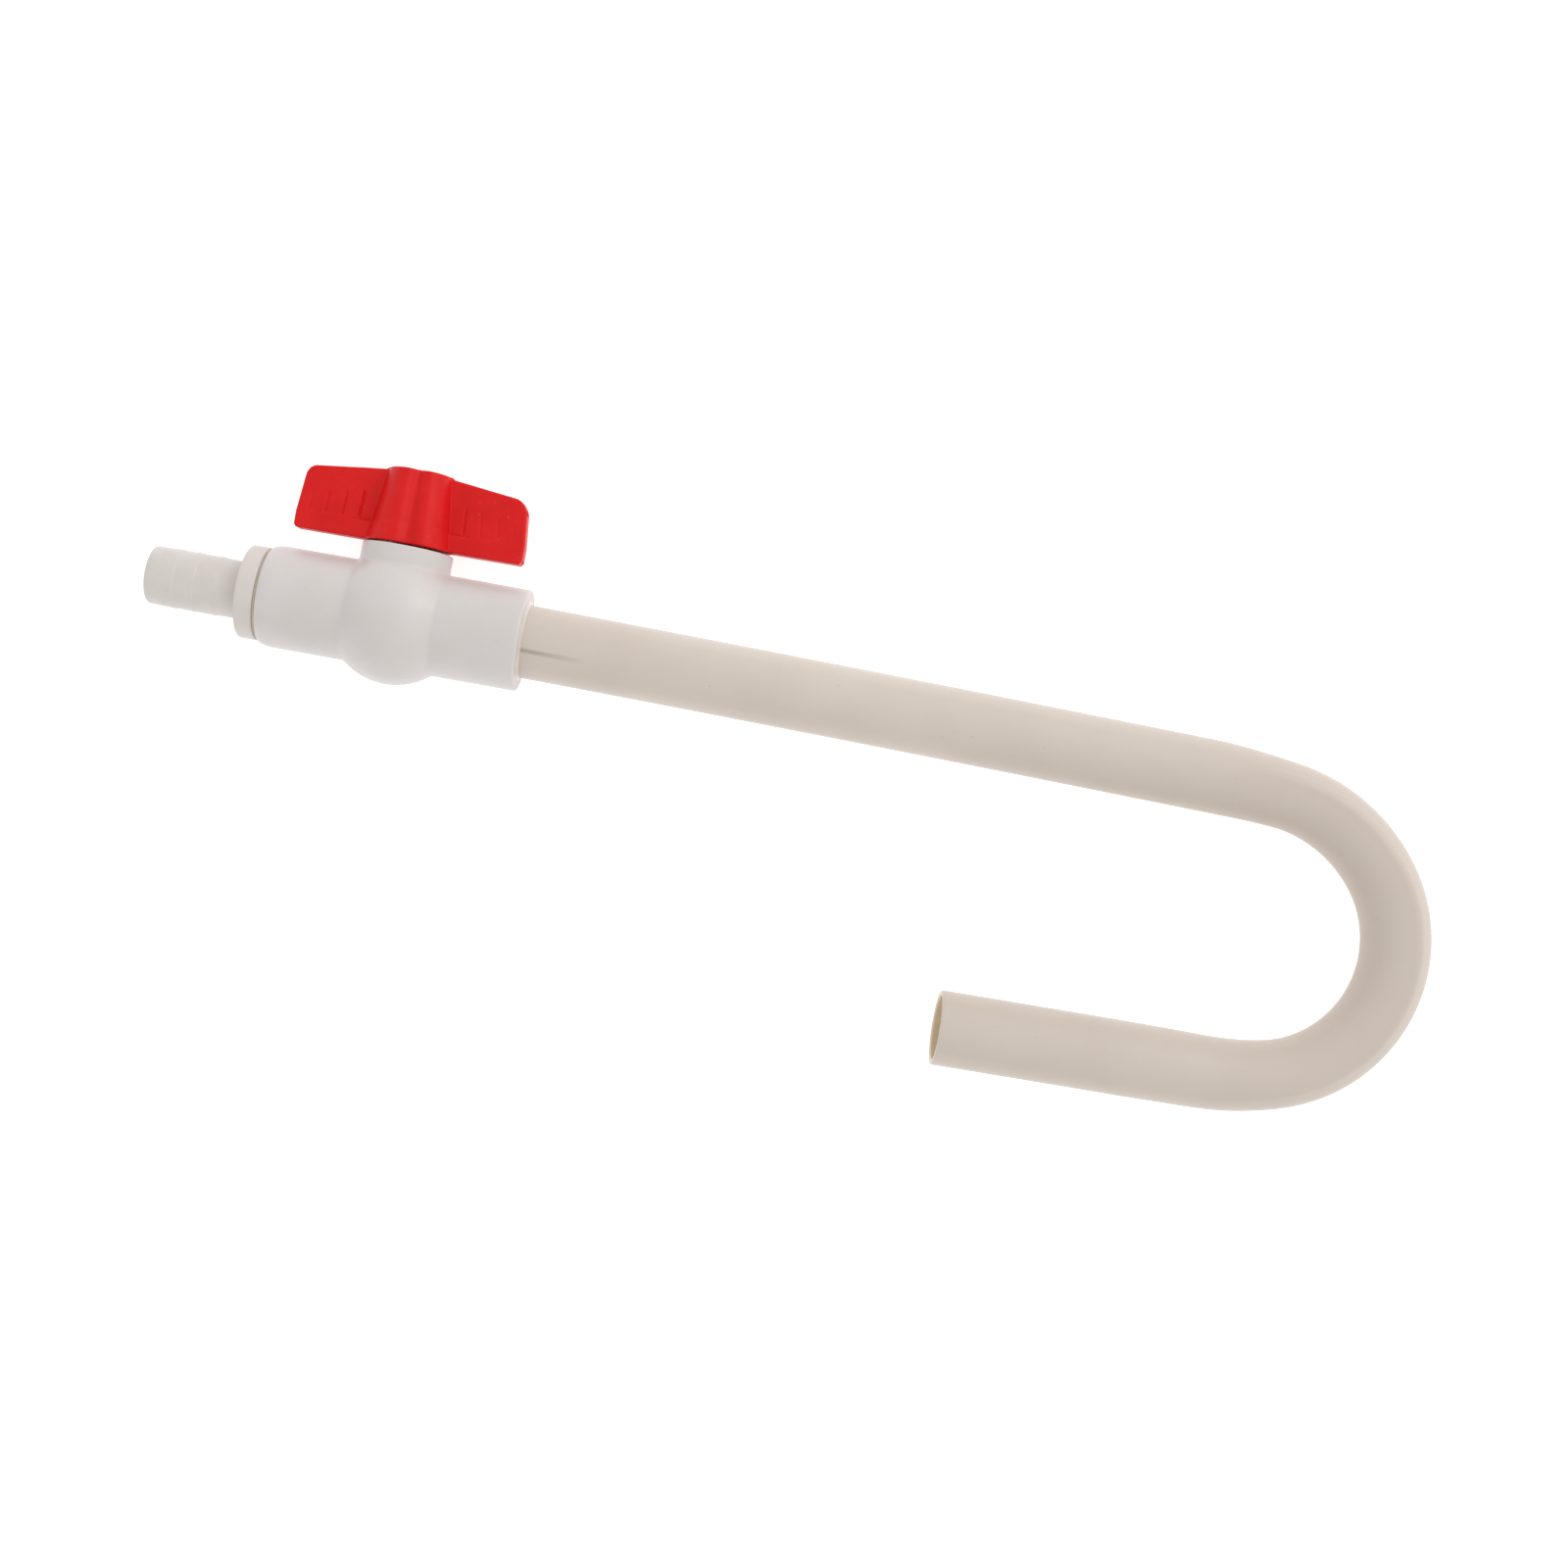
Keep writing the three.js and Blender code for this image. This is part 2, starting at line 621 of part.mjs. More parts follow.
// The seat stack is the same on both sides of the ball, turned about the stem.
for (const [side, turn] of [
  ["tube_side", 0],
  ["hose_side", Math.PI],
]) {
  siphon.add(
    piece(`seat_${side}`, solid(seat().rotateY(turn)), seatPlastic),
    piece(`seat_ring_${side}`, solid(seatRing().rotateY(turn)), rubber),
    piece(`seat_carrier_${side}`, solid(seatCarrier().rotateY(turn)), carrierPlastic),
  );
}

// The siphon rests on the valve's bulge and on the far side of the hook, so it tips about the stem's
// direction by the angle whose sine is the difference of the two radii over the distance between them.
const tubeBox = new THREE.Box3().setFromObject(siphon.getObjectByName("hook_tube"), true);
siphon.rotation.y = Math.asin((BULGE_R - PIPE_R) / (tubeBox.max.x - PIPE_R));

const part = new THREE.Group();
part.add(siphon);
part.updateMatrixWorld(true);
const box = new THREE.Box3().setFromObject(part, true);
siphon.position.set(-(box.min.x + box.max.x) / 2, -(box.min.y + box.max.y) / 2, -box.min.z);

export default part;
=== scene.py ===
# %% [markdown]
# # A hooked siphon head with a ball valve
#
# The object is a rigid plastic tube bent into a hook that hangs over an aquarium's rim. Its long leg is
# cemented into a compact ball valve with a red T handle, and a barbed adapter for a drain hose is in the
# valve's other end. The CAD model is loaded first and says where everything is and how it moves. Every piece
# is then made again here as a fine surface with its own finish.

# %% Load the frame
import json
import math

import bmesh
import bpy
import numpy as np
from mathutils import Matrix

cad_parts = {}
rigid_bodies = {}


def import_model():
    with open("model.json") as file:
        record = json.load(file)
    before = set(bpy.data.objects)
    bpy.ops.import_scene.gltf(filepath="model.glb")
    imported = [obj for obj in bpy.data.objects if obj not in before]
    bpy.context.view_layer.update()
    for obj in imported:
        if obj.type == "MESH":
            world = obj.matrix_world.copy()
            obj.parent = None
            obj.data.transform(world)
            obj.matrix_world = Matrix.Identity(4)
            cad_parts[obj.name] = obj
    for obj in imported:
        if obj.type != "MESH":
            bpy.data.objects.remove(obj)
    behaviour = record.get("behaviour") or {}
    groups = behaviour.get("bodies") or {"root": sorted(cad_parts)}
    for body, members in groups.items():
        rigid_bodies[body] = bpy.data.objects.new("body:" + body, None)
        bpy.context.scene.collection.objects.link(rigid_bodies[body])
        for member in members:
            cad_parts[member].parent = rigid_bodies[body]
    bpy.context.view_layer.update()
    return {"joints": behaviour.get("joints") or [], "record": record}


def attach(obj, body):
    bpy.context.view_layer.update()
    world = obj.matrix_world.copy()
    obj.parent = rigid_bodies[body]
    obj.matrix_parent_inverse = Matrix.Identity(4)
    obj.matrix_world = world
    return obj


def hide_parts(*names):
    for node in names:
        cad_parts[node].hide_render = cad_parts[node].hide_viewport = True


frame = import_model()

# %% [markdown]
# ## The valve's own axes
#
# All pieces are drawn in millimetres about the centre of the valve's ball, as a fitter would measure them:
# x runs along the valve towards the tube, y runs up the stem to the handle, and z comes towards a viewer
# who looks at the flat of the hook. The part lies on a table and is tipped a little, so one function turns
# those millimetres into the frame's metres. The ball's centre is where the handle's hinge is, and the
# direction of the valve is the direction of the hose tail's mount.

# %% The valve's axes and the placing function
hinge = next(j for j in frame["joints"] if j["name"] == "handle_turn")
tail_mount = next(m for m in frame["record"]["mounts"] if m["name"] == "barb_tip")
BALL_CENTRE = np.array(hinge["pos_m"])
ALONG = -np.array(tail_mount["axis"])
ALONG /= np.linalg.norm(ALONG)
STEM_UP = np.array([0.0, 1.0, 0.0])
TOWARDS = np.cross(ALONG, STEM_UP)
MM = 0.001


def placed(points):
    """Millimetres about the ball to metres in the frame: each coordinate times its axis, plus the centre."""
    return BALL_CENTRE + MM * (points @ np.stack([ALONG, STEM_UP, TOWARDS]))


print("tipped by", round(math.degrees(math.asin(-ALONG[2])), 2), "degrees about the stem's direction")

# %% [markdown]
# ## Surfaces from grids
#
# A turned, swept or lofted surface is a grid of points: its rows follow the profile or the path, and its
# columns go once round. One array for the whole grid is short and exact, where a modifier such as Screw would
# hide the numbers. Where a grid runs to a point, that row is merged into one pole, so the shell is closed.
# Faces are then turned outwards, and edges sharper than a set angle are marked, so that flat ends and round
# walls don't shade into each other.

# %% Helpers that make a shell from a grid
SHARP_DEGREES = 38


def grid_faces(rows, columns, rows_close):
    """Quads between neighbours: corner numbers are row times columns plus column, and columns wrap round."""
    row = np.arange(rows if rows_close else rows - 1)[:, None] * columns
    column = np.arange(columns)[None, :]
    below, beside = (row + columns) % (rows * columns), (column + 1) % columns
    return np.stack([row + column, row + beside, below + beside, below + column], axis=-1).reshape(-1, 4)


def tidied(mesh):
    """Merges the poles, turns the faces outwards and marks the sharp edges."""
    work = bmesh.new()
    work.from_mesh(mesh)
    bmesh.ops.remove_doubles(work, verts=work.verts, dist=1e-7)
    bmesh.ops.dissolve_degenerate(work, edges=work.edges, dist=1e-8)
    bmesh.ops.recalc_face_normals(work, faces=work.faces)
    if work.calc_volume(signed=True) < 0:
        bmesh.ops.reverse_faces(work, faces=work.faces)
    work.to_mesh(mesh)
    work.free()
    mesh.shade_smooth()
    mesh.set_sharp_from_angle(angle=math.radians(SHARP_DEGREES))


def in_scene(name, data):
    """A new object in the scene, at the origin."""
    made = bpy.data.objects.new(name, data)
    bpy.context.scene.collection.objects.link(made)
    return made


def shell(name, points, rows_close=False):
    """An object from a grid of points in millimetres, shaped (rows, columns, 3)."""
    mesh = bpy.data.meshes.new(name)
    faces = grid_faces(points.shape[0], points.shape[1], rows_close)
    mesh.from_pydata(placed(points.reshape(-1, 3)), [], faces)
    tidied(mesh)
    return in_scene(name, mesh)


def combined(base, tool, operation="DIFFERENCE"):
    """Cuts one closed shell out of another, or joins the two (UNION). The result stays in base."""
    cutter = base.modifiers.new("combine", "BOOLEAN")
    cutter.operation, cutter.object, cutter.solver = operation, tool, "EXACT"
    bpy.context.view_layer.update()
    seen = base.evaluated_get(bpy.context.evaluated_depsgraph_get())
    result = bpy.data.meshes.new_from_object(seen)
    base.modifiers.clear()
    base.data = result
    bpy.data.objects.remove(tool)
    tidied(result)
    return base


# %% [markdown]
# ## Profiles with rounded corners
#
# Moulded plastic has no sharp corners: each is rounded a little, and the thin line of light along an edge is
# most of what makes a surface look real. A profile is written as its corners, each (along, radius, rounding),
# and one function puts the arcs in. Long straight runs are cut into short steps, because a normal that is
# shared with a rounding would otherwise shade a whole wall.

# %% Helpers that make profiles
def arc(centre, radius, start, end, steps):
    """Points on a circle between two angles in degrees, as (along, radius) with no rounding of their own."""
    angle = np.radians(np.linspace(start, end, steps))
    points = np.stack([centre[0] + radius * np.cos(angle), centre[1] + radius * np.sin(angle)], axis=-1)
    return np.column_stack([points, np.zeros(steps)])


def profile(*parts, closed=True, steps=6, spacing=1.0):
    """Corners (along, radius, rounding) to points, with an arc in each corner. The arc touches both sides
    at rounding over the tangent of half the corner's angle, and its centre is on the corner's halving line."""
    corners = np.concatenate([np.atleast_2d(np.array(part, dtype=float)) for part in parts])
    here, rounding = corners[:, :2], corners[:, 2:]
    to_last, to_next = np.roll(here, 1, axis=0) - here, np.roll(here, -1, axis=0) - here
    if not closed:
        to_last[0], to_next[-1] = -to_next[0], -to_last[-1]
    to_last /= np.linalg.norm(to_last, axis=1, keepdims=True)
    to_next /= np.linalg.norm(to_next, axis=1, keepdims=True)
    half = np.arccos(np.clip((to_last * to_next).sum(axis=1, keepdims=True), -1, 1)) / 2
    halving = to_last + to_next
    length = np.linalg.norm(halving, axis=1, keepdims=True)
    halving = np.where(length > 1e-6, halving / np.maximum(length, 1e-6), 0)
    centre = here + halving * rounding / np.sin(half)
    touch = rounding / np.tan(np.maximum(half, 1e-6))
    first, last = here + to_last * touch - centre, here + to_next * touch - centre
    swing = math.pi - 2 * half
    share = np.linspace(0, 1, steps)[None, :, None]
    safe = np.maximum(np.sin(swing), 1e-6)[:, :, None]
    weight_first = np.sin((1 - share) * swing[:, :, None]) / safe
    weight_last = np.sin(share * swing[:, :, None]) / safe
    curved = centre[:, None] + weight_first * first[:, None] + weight_last * last[:, None]
    bent = (rounding[:, :, None] > 0) & (swing[:, :, None] > 1e-3)
    points = np.where(bent, curved, here[:, None]).reshape(-1, 2)
    if closed:
        points = np.vstack([points, points[:1]])
    gap = np.linalg.norm(np.diff(points, axis=0), axis=1)
    points = points[np.concatenate([[True], gap > 1e-5])]
    gap = np.linalg.norm(np.diff(points, axis=0), axis=1)
    pieces = np.maximum(1, np.ceil(gap / spacing)).astype(int)
    start = np.repeat(np.arange(len(gap)), pieces)
    part = (np.arange(pieces.sum()) - np.repeat(np.cumsum(pieces) - pieces, pieces)) / np.repeat(pieces, pieces)
    fine = points[start] + part[:, None] * (points[start + 1] - points[start])
    return fine if closed else np.vstack([fine, points[-1:]])


def turned(name, outline, about="x", sides=96):
    """A profile turned once round the valve's axis (x) or the stem's (y). Ends on the axis become poles."""
    angle = np.linspace(0, 2 * np.pi, sides, endpoint=False)
    along = outline[:, :1] + 0 * angle
    side, front = outline[:, 1:] * np.cos(angle), outline[:, 1:] * np.sin(angle)
    points = [along, side, front] if about == "x" else [front, along, side]
    on_axis = min(outline[0, 1], outline[-1, 1]) < 1e-6
    return shell(name, np.stack(points, axis=-1), rows_close=not on_axis)


def block(name, size_x, size_z, low, high, rounding=0.2):
    """An upright block about the stem's axis, from one height to another, with rounded upright corners."""
    angle = np.linspace(0, 2 * np.pi, 32, endpoint=False) + np.pi / 32
    inner_x, inner_z = size_x / 2 - rounding, size_z / 2 - rounding
    x = np.sign(np.cos(angle)) * inner_x + rounding * np.cos(angle)
    z = np.sign(np.sin(angle)) * inner_z + rounding * np.sin(angle)
    rows = [(low, 0), (low, 1), (high, 1), (high, 0)]
    return shell(name, np.stack([np.stack([x * k, y + 0 * x, z * k], axis=-1) for y, k in rows]))


def sector(name, inner, outer, middle, span, low, high):
    """A block of ring about the stem between two radii. Angles in degrees from the tube towards the viewer."""
    angle = np.radians(np.linspace(middle - span / 2, middle + span / 2, 25))
    corners = [(inner, low), (outer, low), (outer, high), (inner, high)]
    ring = [np.stack([r * np.cos(angle), y + 0 * angle, r * np.sin(angle)], axis=-1) for r, y in corners]
    walls = np.stack(ring, axis=1)
    first, last = (np.repeat(wall.mean(axis=1, keepdims=True), 4, axis=1) for wall in (walls[:1], walls[-1:]))
    return shell(name, np.concatenate([first, walls, last]))


# %% [markdown]
# ## Sizes
#
# These are the sizes of the real pieces in millimetres. Most are the CAD model's, and a few that show are
# nearer to the real object. Heights go up the stem and lengths along the valve, both from the ball's centre.

# %% Sizes of the pieces
PIPE_R, PIPE_BORE_R = 10.0, 8.5
SOCKET_R, SOCKET_BORE_R, SOCKET_FLOOR, VALVE_END = 13.9, 10.45, 18.371, 35.371
BULGE_R, CHAMBER_R, PORT_R = 18.3, 13.0, 8.0
POCKET_R, POCKET_END = 11.1, 15.971
BALL_R, BALL_BORE_R = 12.0, 7.25
SEAT_R, SEAT_BORE_R, SEAT_FACE_R, SEAT_END = 10.5, 7.6, 12.3, 11.071
CARRIER_R, CARRIER_START, CARRIER_END, RING_GROOVE = 10.8, 11.371, 15.671, 2.1
NECK_R, NECK_TOP, SHELF, GLAND_R = 12.3, 19.0, 14.7, 4.9
STEM_R, FLANGE_R, FLANGE_BOTTOM, FLANGE_TOP = 4.6, 5.8, 12.3, 13.5
O_RING_HEIGHTS, O_RING_FLOOR, O_RING_GROOVE = (15.861, 17.839), 3.3, 1.6
HANDLE_BOTTOM, HANDLE_TOP, SQUARE_TOP = 19.65, 40.1, 33.0
COLLAR_FACE, COLLAR_BACK, COLLAR_R, TAIL_END = 36.121, 41.2, 12.75, 67.321
print("valve", round(2 * VALVE_END, 1), "mm long,", 2 * BULGE_R, "mm over the bulge")

# %% [markdown]
# ## Camera, floor and light
#
# The viewer looks straight at the flat of the hook, and the picture is rolled so that the valve's axis runs
# down to the right. The camera's place is worked out in millimetres along the axes above. The light is a large
# soft box high up beyond the bend, with pale surroundings all round as in a light tent. The floor is a light
# table, a pale sheet that glows a little from below, so shadows are faint. Those sizes are in metres.

# %% Camera
VIEW_DISTANCE = 550.0
VIEW_WIDTH = 426.7
VIEW_CENTRE = np.array([111.9, -25.77, 0.0])
VIEW_ROLL = math.radians(10.2)
SENSOR = 36.0

camera_data = bpy.data.cameras.new("camera")
camera_data.sensor_width = SENSOR
camera_data.lens = SENSOR * VIEW_DISTANCE / VIEW_WIDTH
camera = in_scene("camera", camera_data)
bpy.context.scene.camera = camera
right = math.cos(VIEW_ROLL) * ALONG + math.sin(VIEW_ROLL) * STEM_UP
upward = -math.sin(VIEW_ROLL) * ALONG + math.cos(VIEW_ROLL) * STEM_UP
eye = placed(VIEW_CENTRE + np.array([0, 0, VIEW_DISTANCE]))
camera.matrix_world = Matrix([[right[k], upward[k], TOWARDS[k], eye[k]] for k in range(3)] + [[0, 0, 0, 1]])
print("lens", round(camera_data.lens, 1), "mm, camera at", [round(float(c), 3) for c in eye])

# %% Floor, surroundings and soft box
HALF_FLOOR, FLOOR_GLOW = 3.0, 0.62
SURROUND_STRENGTH = 0.92
SOFT_BOX_POWER, SOFT_BOX_SIZE, SOFT_BOX_PLACE = 8.5, 1.1, (1.1, 0.95, 1.0)

floor_mesh = bpy.data.meshes.new("floor")
floor_corners = [(x * HALF_FLOOR, y * HALF_FLOOR, 0) for x, y in ((-1, -1), (1, -1), (1, 1), (-1, 1))]
floor_mesh.from_pydata(floor_corners, [], [(0, 1, 2, 3)])
floor = in_scene("floor", floor_mesh)

world = bpy.data.worlds.new("light_tent")
world.use_nodes = True
surround = world.node_tree.nodes["Background"].inputs
surround["Color"].default_value, surround["Strength"].default_value = (1.0, 0.995, 0.985, 1), SURROUND_STRENGTH
bpy.context.scene.world = world
bpy.context.scene.view_settings.view_transform = "Standard"

box_data = bpy.data.lights.new("soft_box", "AREA")
box_data.shape, box_data.energy = "RECTANGLE", SOFT_BOX_POWER
box_data.size = box_data.size_y = SOFT_BOX_SIZE
soft_box = in_scene("soft_box", box_data)
soft_box.location = SOFT_BOX_PLACE
soft_box.rotation_mode = "QUATERNION"
soft_box.rotation_quaternion = (-soft_box.location).to_track_quat("-Z", "Y")
print("soft box", round(soft_box.location.length, 2), "m from the part")

# %% [markdown]
# ## Finishes
#
# Everything here but the screw is plastic or rubber, made in a mould or pushed through a die. Such a surface
# is never one flat colour: it has slow clouds of tone, a fine grain from the mould's steel, and a few dark
# flecks of dirt and regrind. One function builds that as a material from noise in real millimetres. Colours
# are hex values as a paint chart gives them, and one function turns them into linear light.

# %% Helpers for materials
def linear(code):
    """An sRGB hex code to linear light: channels under 0.04045 over 12.92, others by the 2.4 power curve."""
    channel = np.array([int(code[k : k + 2], 16) for k in (1, 3, 5)]) / 255
    curved = ((channel + 0.055) / 1.055) ** 2.4
    return (*np.where(channel <= 0.04045, channel / 12.92, curved).tolist(), 1.0)


MIX_COLOURS = {"data_type": "RGBA"}


def feed(node, **inputs):
    """Sets a node's inputs. Each is a value, or a (node, output) pair to link. Names use _ for a space, and i
    with a number stands for that input in order."""
    for name, value in inputs.items():
        key = int(name[1:]) if name[0] == "i" and name[1:].isdigit() else name.replace("_", " ")
        if isinstance(value, tuple) and isinstance(value[0], bpy.types.Node):
            node.id_data.links.new(value[0].outputs[value[1]], node.inputs[key])
        else:
            node.inputs[key].default_value = value


def add(tree, kind, settings=None, **inputs):
    """Adds a shader node with its settings and its inputs."""
    made = tree.nodes.new("ShaderNode" + kind)
    for name, value in (settings or {}).items():
        setattr(made, name, value)
    feed(made, **inputs)
    return made


def blank(name):
    """A new material with its node tree and its shader."""
    made = bpy.data.materials.new(name)
    made.use_nodes = True
    return made, made.node_tree, made.node_tree.nodes["Principled BSDF"]


def per_mm(size):
    """A noise's scale for features of this many millimetres, on coordinates in metres."""
    return 1 / (size * MM)


def moulded(
    name, light, dark, cloud_mm, rough, specular, grain_mm, relief_mm, fleck, fleck_share=0.2, attribute=None
):
    """A plastic or rubber: two tones mixed by slow noise, sparse flecks, uneven gloss and a fine bump."""
    made, tree, shader = blank(name)
    if attribute:
        place = (add(tree, "Attribute", {"attribute_name": attribute}), "Vector")
    else:
        place = (add(tree, "TexCoord"), "Object")
    cloud = add(tree, "TexNoise", Vector=place, Scale=per_mm(cloud_mm), Detail=3.0, Roughness=0.55)
    spread = add(tree, "MapRange", Value=(cloud, "Fac"), From_Min=0.32, From_Max=0.68)
    tone = add(tree, "Mix", MIX_COLOURS, Factor=(spread, "Result"), i6=linear(light), i7=linear(dark))
    speck = add(tree, "TexNoise", Vector=place, Scale=per_mm(1.1), Detail=1.0)
    rare = add(tree, "MapRange", Value=(speck, "Fac"), From_Min=0.75, From_Max=0.79, To_Max=fleck_share)
    flecked = add(tree, "Mix", MIX_COLOURS, Factor=(rare, "Result"), i6=(tone, 2), i7=linear(fleck))
    gloss = add(tree, "TexNoise", Vector=place, Scale=per_mm(cloud_mm / 4), Detail=4.0)
    uneven = add(tree, "MapRange", Value=(gloss, "Fac"), To_Min=rough - 0.06, To_Max=rough + 0.08)
    grain = add(tree, "TexNoise", Vector=place, Scale=per_mm(grain_mm), Detail=3.0, Roughness=0.6)
    bump = add(tree, "Bump", Strength=1.0, Distance=relief_mm * MM, Height=(grain, "Fac"))
    feed(shader, Base_Color=(flecked, 2), Roughness=(uneven, "Result"), Normal=(bump, "Normal"))
    feed(shader, Specular_IOR_Level=specular)
    return made


# %% [markdown]
# The valve and the adapter are rigid PVC, injection moulded: nearly white, a little glossy, with the soft
# unevenness of a polished mould. The adapter comes from another maker's mould and is a shade creamier.

# %% Rigid PVC
# Injection-moulded PVC-U: white with a faint grey-pink tone, broad soft gloss, grain from the mould's steel.
valve_pvc = moulded("pvc_injection_moulded_white", "#cdc8c6", "#c9c4c1", 14, 0.34, 0.35, 0.9, 0.006, "#a59c92")
# The same plastic in a creamier batch, with a slightly duller mould.
adapter_pvc = moulded("pvc_injection_moulded_cream", "#d0cac7", "#cac4bf", 9, 0.4, 0.3, 0.7, 0.008, "#9d9082")
# Seat carriers and stem: a greyer, harder grade that isn't seen from outside.
hard_pvc = moulded("pvc_moulded_pale_grey", "#cfccc6", "#c6c2bb", 8, 0.42, 0.4, 0.6, 0.006, "#8f8a82")
# The ball is moulded and then polished, so it seals.
ball_plastic = moulded("abs_polished_white", "#e6e4df", "#dfdcd6", 10, 0.16, 0.5, 0.5, 0.002, "#b8b2a8", 0.05)
# Seats and the thrust washer: PTFE turned on a lathe, waxy and bright white.
seat_ptfe = moulded("ptfe_turned_white", "#f1f0eb", "#e9e7e0", 6, 0.38, 0.4, 0.35, 0.006, "#cfcabf", 0.05)
# Ring seals: black EPDM, matt, with a dusty bloom.
seal_rubber = moulded("epdm_rubber_black", "#262626", "#1b1b1b", 5, 0.62, 0.4, 0.4, 0.006, "#4a4844", 0.3)
# The gasket: tan sheet rubber, cut out with a die.
gasket_rubber = moulded("sheet_rubber_tan", "#c4b6a2", "#b3a48f", 4, 0.72, 0.25, 0.5, 0.012, "#7d6f5c", 0.3)
# Solvent cement that set in the mouth of the socket: a clear cream film with a wet gloss.
cement = moulded("pvc_cement_set", "#d3c9bf", "#cabfb3", 3, 0.22, 0.4, 0.8, 0.01, "#8d7f6c", 0.2)

# %% [markdown]
# ## The tube
#
# The real tube is straight pressure pipe that was warmed and bent round a former. The centre line is a chain
# of arcs, each starting where the last one ended: a long leg that bows a little, four arcs for the bend and a
# straight short leg. The pipe was squeezed narrower in the bend, with a soft ridge in front and behind outside
# its middle, and its end was cut square and the edge rubbed round. It could be a curve with a bevel, but a
# swept grid lets the section change on the way and gives the mouth a real lip. Each point also keeps where it
# would be on the straight pipe, so the finish follows the bend.

# %% The tube's centre line
TUBE_LEAN, LEG_BOW = math.radians(0.5), math.radians(0.75)
IN_SOCKET = 16.5
LONG_LEG, SHORT_LEG = 189.75, 72.7
BENDS = ((221.1, 5.55), (43.6, 48.2), (37.2, 111.0), (80.7, 13.4))  # each arc's radius and its angle
BEND_RUNS = [(radius * math.radians(swing), math.radians(swing)) for radius, swing in BENDS]
RUNS = [(IN_SOCKET + LONG_LEG, LEG_BOW), *BEND_RUNS, (SHORT_LEG, 0.0)]
TUBE_LENGTH = sum(length for length, _ in RUNS)


def tube_line(distance):
    """Place and heading along the tube's centre line. Each run adds its chord: twice its radius times the
    sine of half the angle turned so far, in the direction halfway between the start's and the end's."""
    heading = np.full_like(distance, -TUBE_LEAN)
    x, y, left = np.zeros_like(distance), np.zeros_like(distance), distance.copy()
    for length, swing in RUNS:
        share = np.clip(left / length, 0, 1)
        turned_by = swing * share
        chord = length * share * np.sinc(turned_by / 2 / np.pi)
        x += chord * np.cos(heading - turned_by / 2)
        y += chord * np.sin(heading - turned_by / 2)
        heading = heading - turned_by
        left = left - length * share
    pivot = IN_SOCKET / 2
    x += VALVE_END - pivot - pivot * math.cos(TUBE_LEAN)
    y += pivot * math.sin(TUBE_LEAN)
    return x, y, heading


print("tube", round(TUBE_LENGTH, 1), "mm along its middle")

# %% The tube's surface
TUBE_COLUMNS = 144
WALL, LIP_OUTER, LIP_INNER = PIPE_R - PIPE_BORE_R, 0.45, 0.55
BEND_START, BEND_END = IN_SOCKET + LONG_LEG, TUBE_LENGTH - SHORT_LEG
BEND_RISE, BEND_FALL, BEND_OVERRUN = 26.0, 30.0, 4.0
BEND_FLATTENING, RIDGE_SHARE = 0.68, 0.05
RIDGE_ANGLE, RIDGE_WIDTH = math.radians(64), math.radians(11)
FLAT_ANGLE, FLAT_WIDTH = math.radians(102), math.radians(28)
MOUTH_SWELL, SWELL_LENGTH = 0.2, 20.0
MOUTH_TURN, TURN_LENGTH = math.radians(1.9), 60.0
SLIT_START, SLIT_END, SLIT_DEPTH = IN_SOCKET - 2.0, IN_SOCKET + 19.0, 0.16
SLIT_ANGLE, SLIT_DEEPENS, SLIT_FADES = math.radians(107), 2.0, 15.0

# Fine steps by the slit, middling ones round the bend and coarse ones on the straight legs.
outer_steps = np.concatenate([
    np.arange(0, IN_SOCKET - 3, 2.0),
    np.arange(IN_SOCKET - 3, IN_SOCKET + 22, 0.6),
    np.arange(IN_SOCKET + 22, BEND_START - 2, 4.0),
    np.arange(BEND_START - 2, BEND_END + 6, 1.2),
    np.arange(BEND_END + 6, TUBE_LENGTH - 1.5, 4.0),
    [TUBE_LENGTH - 1.5, TUBE_LENGTH - 0.9],
])
lip = np.radians(np.linspace(0, 90, 7))
lip_distance = np.concatenate([
    TUBE_LENGTH - LIP_OUTER * (1 - np.sin(lip)),
    TUBE_LENGTH - LIP_INNER * (1 - np.sin(lip[::-1])),
])
lip_inset = np.concatenate([
    LIP_OUTER * (1 - np.cos(lip)),
    WALL - LIP_INNER * (1 - np.cos(lip[::-1])),
])
inner_steps = outer_steps[::-2]
tube_distance = np.concatenate([outer_steps, lip_distance, inner_steps])
tube_inset = np.concatenate([0 * outer_steps, lip_inset, 0 * inner_steps + WALL])


def smooth(value):
    """A step from nought to one that starts and ends level: three squares less two cubes."""
    value = np.clip(value, 0, 1)
    return value * value * (3 - 2 * value)


def bend_share(distance):
    """How far the pipe is into its bend: nought on the legs, one in the middle, by a smooth step each side."""
    fall = smooth((BEND_END + BEND_OVERRUN - distance) / BEND_FALL)
    return smooth((distance - BEND_START) / BEND_RISE) * fall


